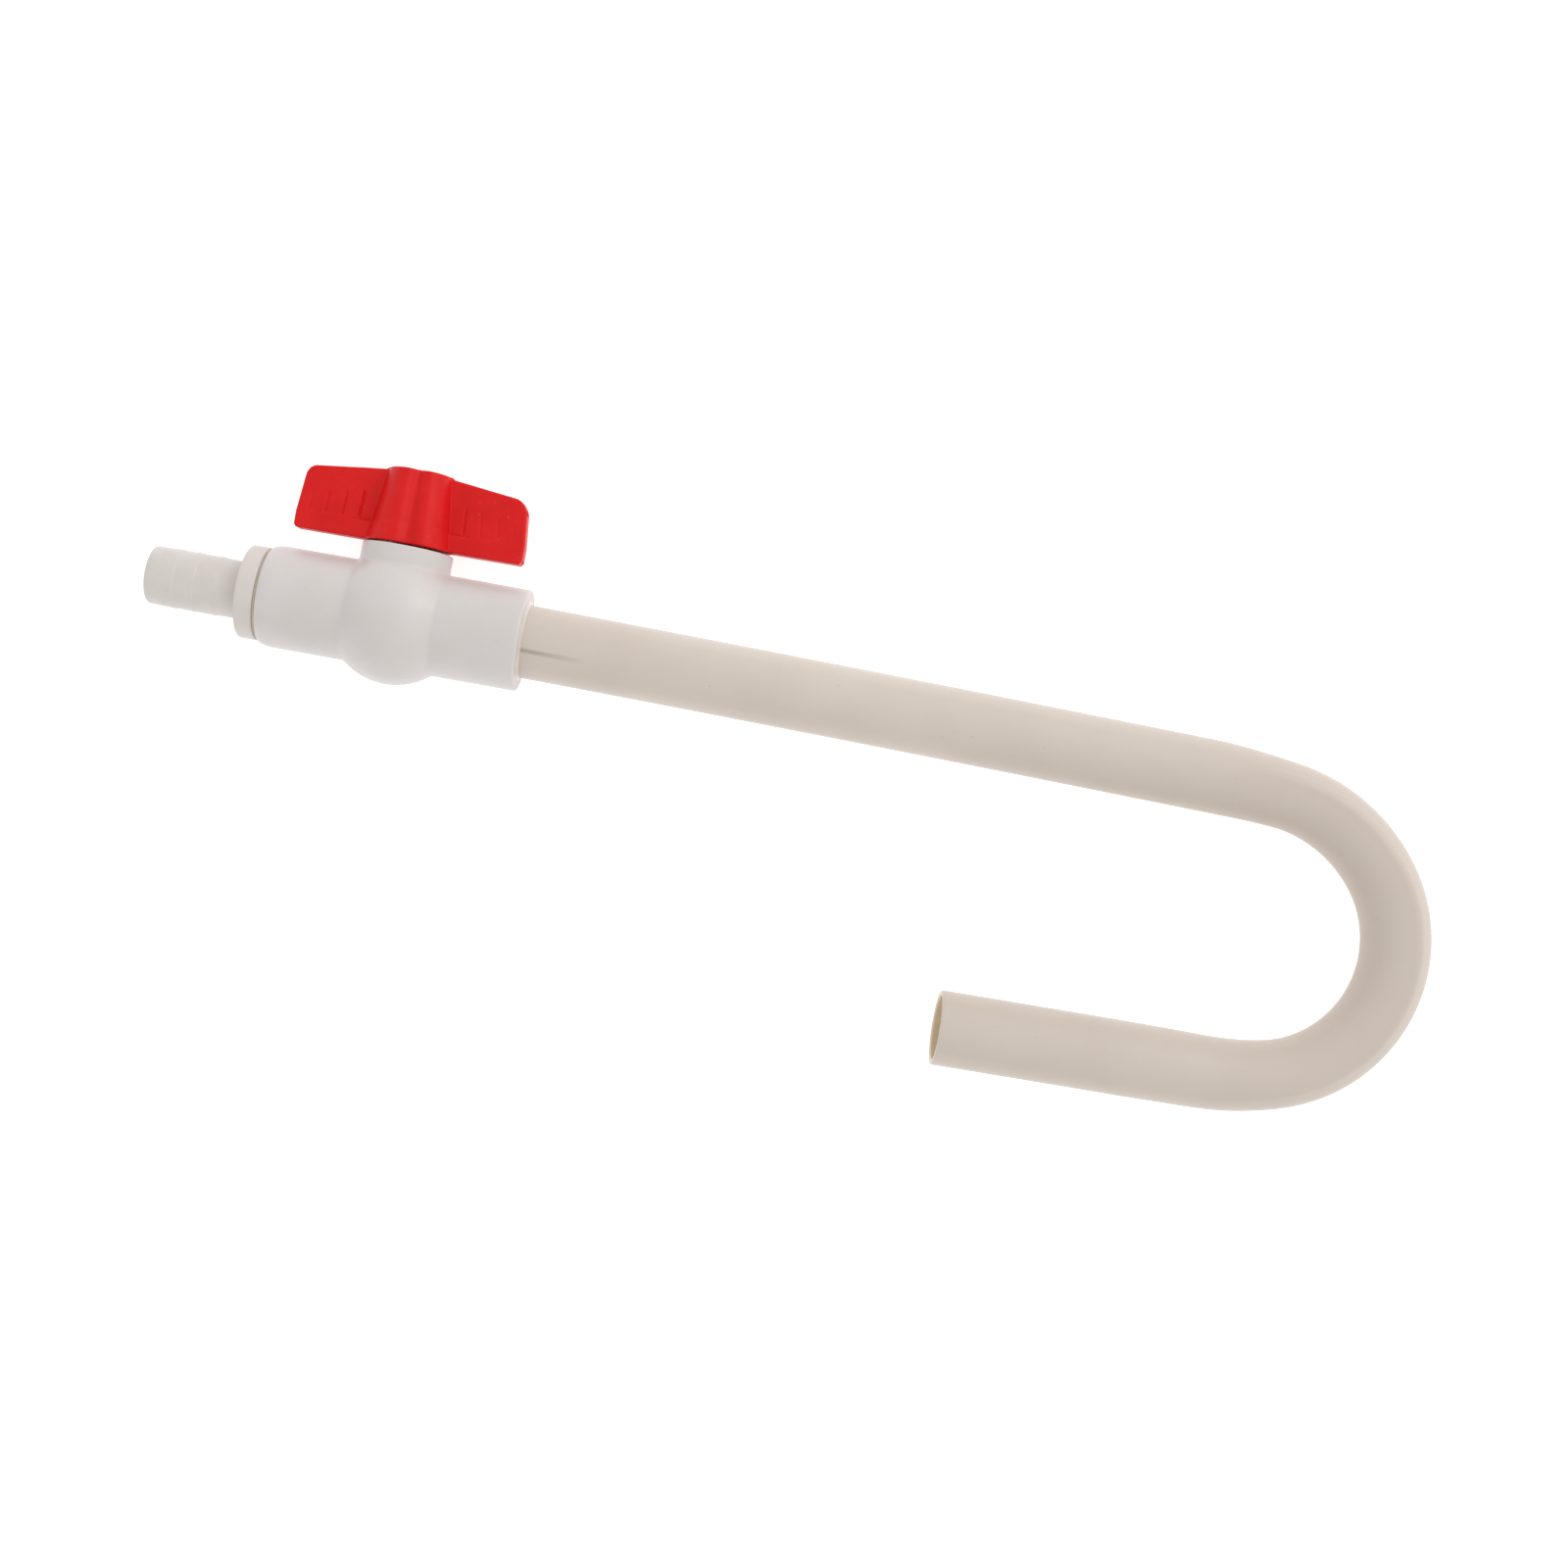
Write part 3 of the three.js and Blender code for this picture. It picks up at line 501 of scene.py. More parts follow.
def tube_grid(distance, inset):
    """The pipe's section carried along its line: a circle less the inset. Where it is bent it is narrower in
    the hook's plane, with a faint ridge and a flatter face beside it, in front and behind. The slit by the
    socket is one line of points pushed in. The last stretch turns up a little towards the viewer: each section
    is sheared by the turn, and lifted by half of the turn times the length since it began."""
    x, y, heading = (value[:, None] for value in tube_line(distance))
    around = np.linspace(0, 2 * np.pi, TUBE_COLUMNS, endpoint=False)[None, :]
    bent = bend_share(distance)[:, None]
    swell = MOUTH_SWELL * np.clip((distance[:, None] - BEND_END) / SWELL_LENGTH, 0, 1)
    from_outside = np.arccos(np.cos(around))
    ridge = np.exp(-(((from_outside - RIDGE_ANGLE) / RIDGE_WIDTH) ** 2))
    flat = np.exp(-(((from_outside - FLAT_ANGLE) / FLAT_WIDTH) ** 2))
    radius = (PIPE_R - inset[:, None]) * (1 + RIDGE_SHARE * bent * (ridge - flat))
    slit = np.clip((distance[:, None] - SLIT_START) / SLIT_DEEPENS, 0, 1)
    slit = slit * np.clip((SLIT_END - distance[:, None]) / SLIT_FADES, 0, 1)
    nearest = np.abs(around - SLIT_ANGLE) < np.pi / TUBE_COLUMNS
    radius = radius - SLIT_DEPTH * slit * nearest * (inset[:, None] == 0)
    sideways = (radius - BEND_FLATTENING * bent + swell) * np.cos(around)
    towards = radius * np.sin(around)
    turned_up = MOUTH_TURN * np.clip((distance[:, None] - TUBE_LENGTH) / TURN_LENGTH + 1, 0, 1)
    x, y = x - turned_up * towards * np.cos(heading), y - turned_up * towards * np.sin(heading)
    lift = turned_up * np.clip(distance[:, None] - TUBE_LENGTH + TURN_LENGTH, 0, TURN_LENGTH) / 2
    points = np.stack([x - np.sin(heading) * sideways, y + np.cos(heading) * sideways, towards + lift], axis=-1)
    straight = np.stack([distance[:, None] + 0 * around, radius * np.cos(around), towards], axis=-1)
    return points, straight


tube_points, tube_straight = tube_grid(tube_distance, tube_inset)
tube = shell("hook_tube_bent_pipe", tube_points, rows_close=True)
followed = tube.data.attributes.new("straight_pipe", "FLOAT_VECTOR", "POINT")
followed.data.foreach_set("vector", (MM * tube_straight).astype(np.float32).ravel())
hidden = np.repeat((tube_inset > WALL / 2).astype(np.float32), TUBE_COLUMNS)
tube.data.attributes.new("bore", "FLOAT", "POINT").data.foreach_set("value", hidden)
print("tube surface:", len(tube.data.polygons), "faces")

# %% [markdown]
# Extruded PVC shows faint lines along it from the die. This one is ivory with age, and darker inside, where
# water stood, and round the bend, where it was heated. Along the slit out of the socket, a dark line is painted shade
# in its crease.

# %% Extruded PVC
# PVC-U pipe, extruded: satin, die lines along it, ivory with age. Streaks are drawn about 2 mm apart.
STREAK_STRETCH = 0.03
# Core width, blur and strength of the painted shade along the slit's crease.
SLIT_CORE, SLIT_BLUR, SLIT_SHADE_DARKNESS = 0.2, 0.9, 0.55
HEAT_START, HEAT_FULL, HEAT_FADES = BEND_START - 110, BEND_START + 50, BEND_START + 75
HEAT_SHARE, HEAT_SHARE_AT_END = 0.6, 0.3

tube_pvc = moulded(
    "pvc_extruded_aged_ivory", "#ccc2b9", "#c7bcb3", 26, 0.38, 0.3, 0.8, 0.006, "#94866f", 0.3, "straight_pipe"
)
tree = tube_pvc.node_tree
shader = tree.nodes["Principled BSDF"]
tone = shader.inputs["Base Color"].links[0].from_node
follow = add(tree, "Attribute", {"attribute_name": "straight_pipe"})
stretched = add(tree, "Mapping", Vector=(follow, "Vector"), Scale=(STREAK_STRETCH, 1.0, 1.0))
streaks = add(tree, "TexNoise", Vector=(stretched, "Vector"), Scale=per_mm(2.2), Detail=2.0)
streak_share = add(tree, "MapRange", Value=(streaks, "Fac"), From_Min=0.5, From_Max=0.8, To_Max=0.1)
apart = add(tree, "SeparateXYZ", Vector=(follow, "Vector"))

# Painted shade in the slit's crease: dark near its line, fading along it, on the front only.
off_slit = add(tree, "Math", {"operation": "SUBTRACT"}, i0=(apart, "Y"), i1=PIPE_R * math.cos(SLIT_ANGLE) * MM)
off_slit = add(tree, "Math", {"operation": "ABSOLUTE"}, i0=(off_slit, 0))
near_slit = add(
    tree, "MapRange", Value=(off_slit, 0), From_Min=SLIT_CORE * MM, From_Max=SLIT_BLUR * MM, To_Min=1.0, To_Max=0.0
)
along_slit = add(tree, "MapRange", Value=(apart, "X"), From_Min=SLIT_END * MM, From_Max=(IN_SOCKET + 5) * MM)
in_front = add(tree, "Math", {"operation": "GREATER_THAN"}, i0=(apart, "Z"), i1=0.0)
painted_slit_shade = (near_slit, "Result")
for share in ((along_slit, "Result"), (in_front, 0), SLIT_SHADE_DARKNESS):
    painted_slit_shade = (add(tree, "Math", {"operation": "MULTIPLY"}, i0=painted_slit_shade, i1=share), 0)

# The heated stretch: darker from before the bend, and less so towards its end.
inside = add(tree, "Attribute", {"attribute_name": "bore"})
heated = add(tree, "MapRange", Value=(apart, "X"), From_Min=HEAT_START * MM, From_Max=HEAT_FULL * MM)
cooled = add(
    tree, "MapRange", Value=(apart, "X"), From_Min=HEAT_FADES * MM, From_Max=BEND_END * MM,
    To_Min=HEAT_SHARE, To_Max=HEAT_SHARE_AT_END,
)
browned = add(tree, "Math", {"operation": "MULTIPLY"}, i0=(heated, "Result"), i1=(cooled, "Result"))

# The second colour, along the slit, is painted shade in its crease; the streaks and the heated stretch are the pipe's
# own tone.
layers = [((streak_share, "Result"), "#b7a78f"), (painted_slit_shade, "#8c8376"), ((browned, 0), "#bcb0a5")]
for share, colour in [*layers, ((inside, "Fac"), "#dccab0")]:
    tone = add(tree, "Mix", MIX_COLOURS, Factor=share, i6=(tone, 2), i7=linear(colour))
feed(shader, Base_Color=(tone, 2))
print("tube finish:", len(tree.nodes), "nodes")

# %% [markdown]
# ## The valve's body
#
# One moulding holds everything: a round bulge about the ball, a socket at each end, and a neck for the stem.
# The bulge and the sockets are turned about the valve's axis, inside and outside in one closed profile, with
# a soft hollow where the bulge runs into each socket. The neck stands across them. Its foot flares out to
# meet whatever is under it, wide over the bulge and tight over the sockets, and is then joined on.

# %% Bulge and sockets
NOSE_LENGTH, NOSE_DROP = 4.2, 1.1
BULGE_HOLLOW, RIM_ROUNDING, MOUTH_ROUNDING = 3.2, 0.6, 0.25

hollow_x = math.sqrt((BULGE_R + BULGE_HOLLOW) ** 2 - (SOCKET_R + BULGE_HOLLOW) ** 2)
hollow_end = math.degrees(math.atan2(SOCKET_R + BULGE_HOLLOW, hollow_x))
nose_angle = np.radians(np.linspace(0, 90, 12))
nose = np.stack([
    -VALVE_END + NOSE_LENGTH * (1 - np.cos(nose_angle)),
    SOCKET_R - NOSE_DROP * (1 - np.sin(nose_angle)),
    0 * nose_angle,
], axis=-1)
chamber = math.degrees(math.acos(POCKET_R / CHAMBER_R))
outside = profile(
    (-VALVE_END, SOCKET_BORE_R, MOUTH_ROUNDING),
    nose,
    arc((-hollow_x, SOCKET_R + BULGE_HOLLOW), BULGE_HOLLOW, -90, -hollow_end, 12),
    arc((0, 0), BULGE_R, 180 - hollow_end, hollow_end, 48),
    arc((hollow_x, SOCKET_R + BULGE_HOLLOW), BULGE_HOLLOW, hollow_end - 180, -90, 12),
    (VALVE_END, SOCKET_R, RIM_ROUNDING),
    (VALVE_END, SOCKET_BORE_R, MOUTH_ROUNDING),
    (SOCKET_FLOOR, SOCKET_BORE_R, 0),
    (SOCKET_FLOOR, PORT_R, 0),
    (POCKET_END, PORT_R, 0),
    (POCKET_END, POCKET_R, 0),
    arc((0, 0), CHAMBER_R, 90 - chamber, 90 + chamber, 16),
    (-POCKET_END, POCKET_R, 0),
    (-POCKET_END, PORT_R, 0),
    (-SOCKET_FLOOR, PORT_R, 0),
    (-SOCKET_FLOOR, SOCKET_BORE_R, 0),
    spacing=0.9,
)
body = turned("valve_body_moulding", outside, sides=192)
print("bulge and sockets:", len(body.data.polygons), "faces")

# %% The neck with its flared foot
NECK_RIM, FOOT_ROOT, SINK = 0.45, 1.2, 0.02
FOOT_OVER_SOCKET, FOOT_OVER_BULGE = 0.75, 0.9


def ground(x, z):
    """Height of the bulge or socket at a place: the root of its radius there squared less z squared."""
    radius = np.interp(np.abs(x), ground_x, ground_r)
    return np.sqrt(np.maximum(radius**2 - z**2, 0))


outer_half = outside[(outside[:, 0] >= 0) & (outside[:, 1] > SOCKET_R - 1e-6)]
outer_half = outer_half[np.argsort(outer_half[:, 0])]
ground_x, ground_r = outer_half[:, 0], outer_half[:, 1]

around = np.linspace(0, 2 * np.pi, 192, endpoint=False)[None, :]
reach = FOOT_OVER_SOCKET + (FOOT_OVER_BULGE - FOOT_OVER_SOCKET) * np.sin(around) ** 2
foot_height = ground(NECK_R * np.cos(around), NECK_R * np.sin(around))
end_r = NECK_R + reach
end_height = ground(end_r * np.cos(around), end_r * np.sin(around)) - SINK
share = np.linspace(0, 1, 16)[:, None]
at_start, between, at_neck = (1 - share) ** 2, 2 * share * (1 - share), share**2
foot_r = at_start * end_r + between * NECK_R + at_neck * NECK_R
foot_y = at_start * end_height + between * foot_height + at_neck * (foot_height + reach)
rim_angle = np.radians(np.linspace(0, 90, 7))[:, None] + 0 * around
wall_y = foot_y[-1:] + np.linspace(0.15, 0.95, 6)[:, None] * (NECK_TOP - NECK_RIM - foot_y[-1:])
neck_r = np.vstack([
    0 * around, end_r, foot_r, NECK_R + 0 * wall_y, NECK_R - NECK_RIM * (1 - np.cos(rim_angle)),
    NECK_R / 2 + 0 * around, 0 * around,
])
neck_y = np.vstack([
    CHAMBER_R / 2 + 0 * around, end_height - FOOT_ROOT, foot_y, wall_y,
    NECK_TOP - NECK_RIM * (1 - np.sin(rim_angle)), NECK_TOP + 0 * around, NECK_TOP + 0 * around,
])
neck = shell("neck", np.stack([neck_r * np.cos(around), neck_y, neck_r * np.sin(around)], axis=-1))
body = combined(body, neck, "UNION")
print("body with its neck:", len(body.data.polygons), "faces")

# %% The stem's hole and the stop
HOLE_LOW, FLANGE_ROOM, CHAMFER, PAST = 3, 0.3, 0.4, 3  # the cutting shape goes past the neck's top
# The lug's and its recess's inner and outer radius, middle and span in degrees, and foot and top.
STOP_LUG = (6.3, 8.6, 135, 50, NECK_TOP - 0.3, 20.7)
STOP_RECESS = (6.0, 8.9, 90, 144, HANDLE_BOTTOM - 1, 21.0)

stem_hole = profile(
    (HOLE_LOW, 0, 0), (HOLE_LOW, FLANGE_R + FLANGE_ROOM, 0), (SHELF, FLANGE_R + FLANGE_ROOM, 0.1),
    (SHELF, GLAND_R, 0), (NECK_TOP - CHAMFER, GLAND_R, 0), (NECK_TOP, GLAND_R + CHAMFER, 0),
    (NECK_TOP + PAST, GLAND_R + CHAMFER, 0), (NECK_TOP + PAST, 0, 0), closed=False,
)
body = combined(body, turned("stem_hole", stem_hole, about="y"))
chamber_outline = profile(arc((0, 0), CHAMBER_R, 180, 0, 40), closed=False)
body = combined(body, turned("chamber_ball", chamber_outline))
body = combined(body, sector("stop_lug", *STOP_LUG), "UNION")
body.name = "valve_body_moulding"
print("finished body:", len(body.data.polygons), "faces")

# %% [markdown]
# ## The handle
#
# The handle is one red moulding: a fluted hub that widens to its foot, and two wings with a band along their
# foot and worn grooves for the fingers. Any level slice has the same kind of outline: the wing's end, its face,
# a small hollow and the hub's lobe. So the surface is those outlines stacked from the foot to the top, with
# sizes that change with the height. The wings' tops fall away, and their corners are rounded, by letting each
# upright line of points end at its own height.

# %% Outlines of the handle
HALF_LENGTH, WING_LEAN, TILT = 31.4, 1.2, 0.008
BAND_TOP, BAND_HALF, FACE_AT_HUB, FACE_AT_END = 5.0, 3.0, 1.75, 2.8
FACE_RISE_START, FACE_RISE, TIP_ROUNDING = 10, 8, 0.8
HUB_HOLLOW = {1: 0.4, -1: 1.0}  # keys 1 and -1 are the wings on the tube's side and on the hose's side
HUB_R, SKIRT_ACROSS, SKIRT_FRONT, SKIRT_STEP = 8.6, 11.6, 11.0, 0.22
FLUTE_DEPTH, FLUTE_WIDTH, FLUTE_TURN = 2.1, 14.0, math.radians(5)
WING_TOP_AT_HUB, WING_TOP_AT_END = 19.95, 17.3
TOP_CORNERS, FOOT_CORNER, EDGE = {1: 3.5, -1: 2.5}, 1.2, 0.7
GROOVES = ((14.2, 0.5), (19.0, 0.44), (23.7, 0.38), (28.1, 0.3))
GROOVE_LOW, GROOVE_UNDER_TOP, GROOVE_HALF = 5.3, 5.3, 0.36
GROOVE_WEAR = {1: 0.45, -1: 1.0}
HEIGHT = HANDLE_TOP - HANDLE_BOTTOM
TOP_SLOPE = (WING_TOP_AT_HUB - WING_TOP_AT_END) / (HALF_LENGTH - HUB_R)


def hub_size(height):
    """Half-widths of the hub across and towards the front. Both widen in a straight line from the top to the
    foot, and a very low step runs round them at the height of the band."""
    flare = 1 - height / HEIGHT
    step = SKIRT_STEP * (1 - smooth((height - BAND_TOP + 0.3) / 0.8))
    return HUB_R + (SKIRT_ACROSS - HUB_R) * flare + step, HUB_R + (SKIRT_FRONT - HUB_R) * flare + step


def quarter_outline(height, side):
    """One quarter of the outline at each height, from the middle of the wing's end to the hub's flute. The hub
    is a circle of its front radius, and is then stretched across with the hollow that leads into it."""
    band = 1 - smooth((height - BAND_TOP + 0.15) / 0.35)
    across, hub = hub_size(height)
    stretch = across / hub
    at_end = FACE_AT_END + (BAND_HALF - FACE_AT_END) * band
    at_hub = FACE_AT_HUB + (BAND_HALF - FACE_AT_HUB) * band
    hollow = HUB_HOLLOW[side]
    meet = np.sqrt((hub + hollow) ** 2 - (at_hub + hollow) ** 2)
    end = np.linspace(0, 1, 4)[None, :-1]
    end_x, end_z = HALF_LENGTH + 0 * height * end, (at_end - TIP_ROUNDING) * end
    angle = np.radians(np.linspace(0, 90, 8))[None, :-1]
    corner_x = HALF_LENGTH - TIP_ROUNDING * (1 - np.cos(angle)) + 0 * height
    corner_z = at_end - TIP_ROUNDING * (1 - np.sin(angle))
    run = np.linspace(0, 1, 92)[None, :-1]
    face_x = HALF_LENGTH - TIP_ROUNDING + (meet * stretch - HALF_LENGTH + TIP_ROUNDING) * run
    face_z = at_hub + (at_end - at_hub) * smooth((face_x - FACE_RISE_START) / FACE_RISE)
    groove_top = WING_TOP_AT_HUB - GROOVE_UNDER_TOP - TOP_SLOPE * (face_x - HUB_R)
    for groove_x, depth in GROOVES:
        off = (face_x - groove_x) / GROOVE_HALF
        length = smooth((height - GROOVE_LOW) / 0.4) * smooth((groove_top - height) / 1.2)
        face_z = face_z - GROOVE_WEAR[side] * depth * length * np.exp(-(off**2))
    lean = np.arctan2(at_hub + hollow, meet)
    swing = np.linspace(0, 1, 9)[None, :-1]
    hollow_angle = -np.pi / 2 - swing * (np.pi / 2 - lean)
    hollow_px = (meet + hollow * np.cos(hollow_angle)) * stretch
    hollow_pz = at_hub + hollow + hollow * np.sin(hollow_angle)
    round_hub = lean + (np.pi / 2 - lean) * np.linspace(0, 1, 34)[None, :]
    off_flute = (round_hub - np.pi / 2 + side * FLUTE_TURN) / math.radians(FLUTE_WIDTH)
    flute = FLUTE_DEPTH * np.exp(-(off_flute**2))
    hub_x, hub_z = (hub - flute) * np.cos(round_hub) * stretch, (hub - flute) * np.sin(round_hub)
    across_parts = [end_x, corner_x, face_x, hollow_px, hub_x]
    return np.hstack(across_parts), np.hstack([end_z, corner_z, face_z, hollow_pz, hub_z])


def wing_ends(x, side):
    """Foot and top of an upright line of points at x: the top falls away from the hub, and both corners at
    the wing's end are quarter circles."""
    top = WING_TOP_AT_HUB - TOP_SLOPE * np.clip(x - HUB_R, 0, HALF_LENGTH - HUB_R)
    corner = TOP_CORNERS[side]
    past = np.clip(x - (HALF_LENGTH - corner), 0, corner)
    top = top - (corner - np.sqrt(corner**2 - past**2))
    past_foot = np.clip(x - (HALF_LENGTH - FOOT_CORNER), 0, FOOT_CORNER)
    foot = FOOT_CORNER - np.sqrt(FOOT_CORNER**2 - past_foot**2)
    dome = smooth((HUB_R + 0.9 - x) / 0.9)
    return foot, top + (HEIGHT - top) * dome


# %% The handle's surface
LOW_EDGE = 0.4
LEVEL = 5.35  # below this height all upright lines have the same points, above it they share out the rest
band_share = np.array([0.0, 0.15, 0.3, 0.45, 0.6, 0.75, 0.86, 0.91, 0.93, 0.95, 0.97, 1.0])[:, None]
upper_share = np.linspace(0, 1, 46)[1:, None]
edge_angle = np.radians(np.linspace(15, 90, 6))[:, None]


def inwards(x, z, by):
    """The outline moved in by a distance: each point goes along the normal of its neighbours' direction."""
    along_x, along_z = np.gradient(x, axis=1), np.gradient(z, axis=1)
    size = np.maximum(np.hypot(along_x, along_z), 1e-9)
    normal_x, normal_z = along_z / size, -along_x / size
    normal_x[:, 0], normal_z[:, 0] = 1, 0
    normal_x[:, -1], normal_z[:, -1] = 0, 1
    return x - by * normal_x, np.maximum(z - by * normal_z, 0)


def quarter_surface(side):
    """Front quarter of the handle on one side, rows from the foot to the top, columns from end to flute."""
    nominal = np.vstack([LEVEL * band_share, LEVEL + (HEIGHT - EDGE - LEVEL) * upper_share])
    x, z = quarter_outline(nominal, side)
    foot, top = wing_ends(x, side)
    low = (foot + LOW_EDGE)[: len(band_share)]
    high = (top - EDGE)[len(band_share) :]
    y = np.vstack([low + (LEVEL - low) * band_share, LEVEL + (high - LEVEL) * upper_share])
    foot_x, foot_z = inwards(x[:1], z[:1], LOW_EDGE * (1 - np.cos(edge_angle[::-1])))
    foot_y = foot[:1] + LOW_EDGE * (1 - np.sin(edge_angle[::-1]))
    top_x, top_z = inwards(x[-1:], z[-1:], EDGE * (1 - np.cos(edge_angle)))
    top_y = top[-1:] - EDGE * (1 - np.sin(edge_angle))
    x = np.vstack([foot_x[:1], foot_x, x, top_x, top_x[-1:]])
    z = np.vstack([0 * foot_z[:1], foot_z, z, top_z, 0 * top_z[-1:]])
    y = np.vstack([foot_y[:1], foot_y, y, top_y, top_y[-1:]])
    lean = np.clip((y - BAND_TOP) / (WING_TOP_AT_END - BAND_TOP), 0, 1) * smooth((x - HUB_R) / 12)
    return np.stack([side * (x - WING_LEAN * lean), y + HANDLE_BOTTOM + TILT * side * x, z], axis=-1)


tube_side, hose_side = quarter_surface(1), quarter_surface(-1)
front = np.concatenate([tube_side, hose_side[:, -2::-1]], axis=1)
back = front[:, -2:0:-1] * np.array([1, 1, -1])
handle = shell("handle_t_bar", np.concatenate([front, back], axis=1))
print("handle before cutting:", len(handle.data.polygons), "faces")

# %% [markdown]
# The handle is hollow where it has to be: a recess on top for the screw, a square socket for the stem, a hole
# between them, and under the skirt a ring-shaped recess in which the stop runs for its quarter turn.

# %% Recesses of the handle
SCREW_RECESS_R, RECESS_FLOOR, SHANK_HOLE_R, SHANK_HOLE_LOW = 4.4, 36.3, 1.65, HANDLE_BOTTOM + 8
SOCKET_SQUARE = 6.6

screw_recess = profile(
    (SHANK_HOLE_LOW, 0, 0), (SHANK_HOLE_LOW, SHANK_HOLE_R, 0), (RECESS_FLOOR, SHANK_HOLE_R, 0),
    (RECESS_FLOOR, SCREW_RECESS_R, 0.3), (HANDLE_TOP - CHAMFER, SCREW_RECESS_R, 0),
    (HANDLE_TOP, SCREW_RECESS_R + CHAMFER, 0), (HANDLE_TOP + 1, SCREW_RECESS_R + CHAMFER, 0),
    (HANDLE_TOP + 1, 0, 0), closed=False,
)
handle = combined(handle, turned("screw_recess", screw_recess, about="y"))
square_socket = block("square_socket", SOCKET_SQUARE, SOCKET_SQUARE, HANDLE_BOTTOM - 1, SQUARE_TOP + 0.3)
handle = combined(handle, square_socket)
handle = combined(handle, sector("stop_recess", *STOP_RECESS))
print("finished handle:", len(handle.data.polygons), "faces")

# %% [markdown]
# The handle is ABS, coloured through. Its mould was sparked, not polished, so it is satin, and it has a few
# pale scuffs. Red plastic also varies slowly in depth, which is drawn as clouds about 9 mm across.

# %% ABS of the handle
# ABS, injection moulded, self-coloured red: satin, with shallow spark grain and pale rub marks.
red_abs = moulded("abs_moulded_red", "#d51a1a", "#cc1414", 9, 0.4, 0.17, 0.6, 0.006, "#e0625c", 0.4)

# %% [markdown]
# ## The hose adapter and its gasket
#
# The adapter is turned from one profile: a spigot in the valve's socket, a collar, a plain neck and three
# barbs. Each barb rises slowly towards the collar and then drops, so the hose slides on and can't slide off.
# The gasket is a flat ring between the collar and the valve, and shows as a thin tan line. A bead of set
# cement fills the corner between the tube and its socket. Lengths are from the ball's centre.

# %% Adapter and gasket
SPIGOT_BORE_R, SPIGOT_START, GASKET_SEAT_R, GASKET_SEAT_END = 7.8, 18.871, 11.6, 37.321
TAIL_R, TAIL_BORE_R, TIP_R = 7.95, 5.8, 7.85
BARB_START, BARB_PITCH, BARB_STEP = 48.3, 5.55, 0.15
GASKET_FACE, GASKET_LIP_END, GASKET_LIP_R, GASKET_END = 35.45, 36.05, 12.55, 37.0
GASKET_R, GASKET_BORE_R = 11.3, 10.3
CEMENT_LENGTH = 3.5

crests = BARB_START + BARB_PITCH * np.arange(3)
barb_foot = np.stack([crests - 0.28, 0 * crests + TAIL_R, 0 * crests + 0.15], axis=-1)
barb_crest = np.stack([crests, 0 * crests + TAIL_R + BARB_STEP, 0 * crests + 0.18], axis=-1)
adapter_profile = profile(
    (-SPIGOT_START, SPIGOT_BORE_R, 0.3),
    (-SPIGOT_START, PIPE_R, 0.6),
    (-GASKET_SEAT_END, PIPE_R, 0),
    (-GASKET_SEAT_END, GASKET_SEAT_R, 0),
    (-COLLAR_FACE, GASKET_SEAT_R, 0.15),
    (-COLLAR_FACE, COLLAR_R, 0.45),
    (-COLLAR_BACK, COLLAR_R, 0.7),
    (-COLLAR_BACK, TAIL_R - 0.15, 0.9),
    np.stack([barb_foot, barb_crest], axis=1).reshape(-1, 3) * np.array([-1, 1, 1]),
    (-TAIL_END, TIP_R, 0.95),
    (-TAIL_END, TAIL_BORE_R, 0.4),
    (-COLLAR_BACK, TAIL_BORE_R, 1.5),
    (-COLLAR_FACE, SPIGOT_BORE_R, 1.5),
    spacing=0.8,
)
adapter = turned("hose_adapter_barbed", adapter_profile, sides=160)
gasket_profile = profile(
    (-GASKET_FACE, GASKET_BORE_R, 0.1), (-GASKET_FACE, GASKET_LIP_R, 0.2), (-GASKET_LIP_END, GASKET_LIP_R, 0.2),
    (-GASKET_LIP_END, GASKET_R, 0.1), (-GASKET_END, GASKET_R, 0.1), (-GASKET_END, GASKET_BORE_R, 0.1), spacing=0.3,
)
gasket = turned("gasket_flat_ring", gasket_profile, sides=120)
cement_profile = profile(
    (VALVE_END - CEMENT_LENGTH, PIPE_R - 0.35, 0), (VALVE_END + 0.75, PIPE_R - 0.35, 0),
    (VALVE_END + 0.7, PIPE_R + 0.05, 0.1), (VALVE_END + 0.22, PIPE_R + 0.5, 0.9),
    (VALVE_END + 0.03, SOCKET_BORE_R + 0.75, 0.1), (VALVE_END - 0.3, SOCKET_BORE_R + 0.6, 0),
    (VALVE_END - CEMENT_LENGTH, SOCKET_BORE_R + 0.1, 0), spacing=0.4,
)
cement_line = turned("cement_line_in_socket", cement_profile, sides=120)
print("adapter:", len(adapter.data.polygons), "faces")

# %% [markdown]
# ## Inside the valve
#
# The ball has a straight bore and a slot on top. On each side a seat bears on it, pressed by a rubber ring
# in a carrier. The stem's tang sits in the slot, its flange is under a washer, and two O-rings seal it.

# %% Ball, seats, rings and carriers
SLOT_WIDTH, SLOT_DEPTH = 5.0, 3.2
SEAT_RING_SECTION_R = 0.75

bore_edge = math.degrees(math.asin(BALL_BORE_R / BALL_R))
ball_profile = profile(
    arc((0, 0), BALL_R, bore_edge + 2, 178 - bore_edge, 60),
    (-math.sqrt(BALL_R**2 - BALL_BORE_R**2) + 0.1, BALL_BORE_R, 0),
    (math.sqrt(BALL_R**2 - BALL_BORE_R**2) - 0.1, BALL_BORE_R, 0),
)
ball = turned("ball_bored", ball_profile, sides=120)
ball = combined(ball, block("slot", SLOT_WIDTH, 30.0, BALL_R - SLOT_DEPTH, BALL_R + 2, 0.3))

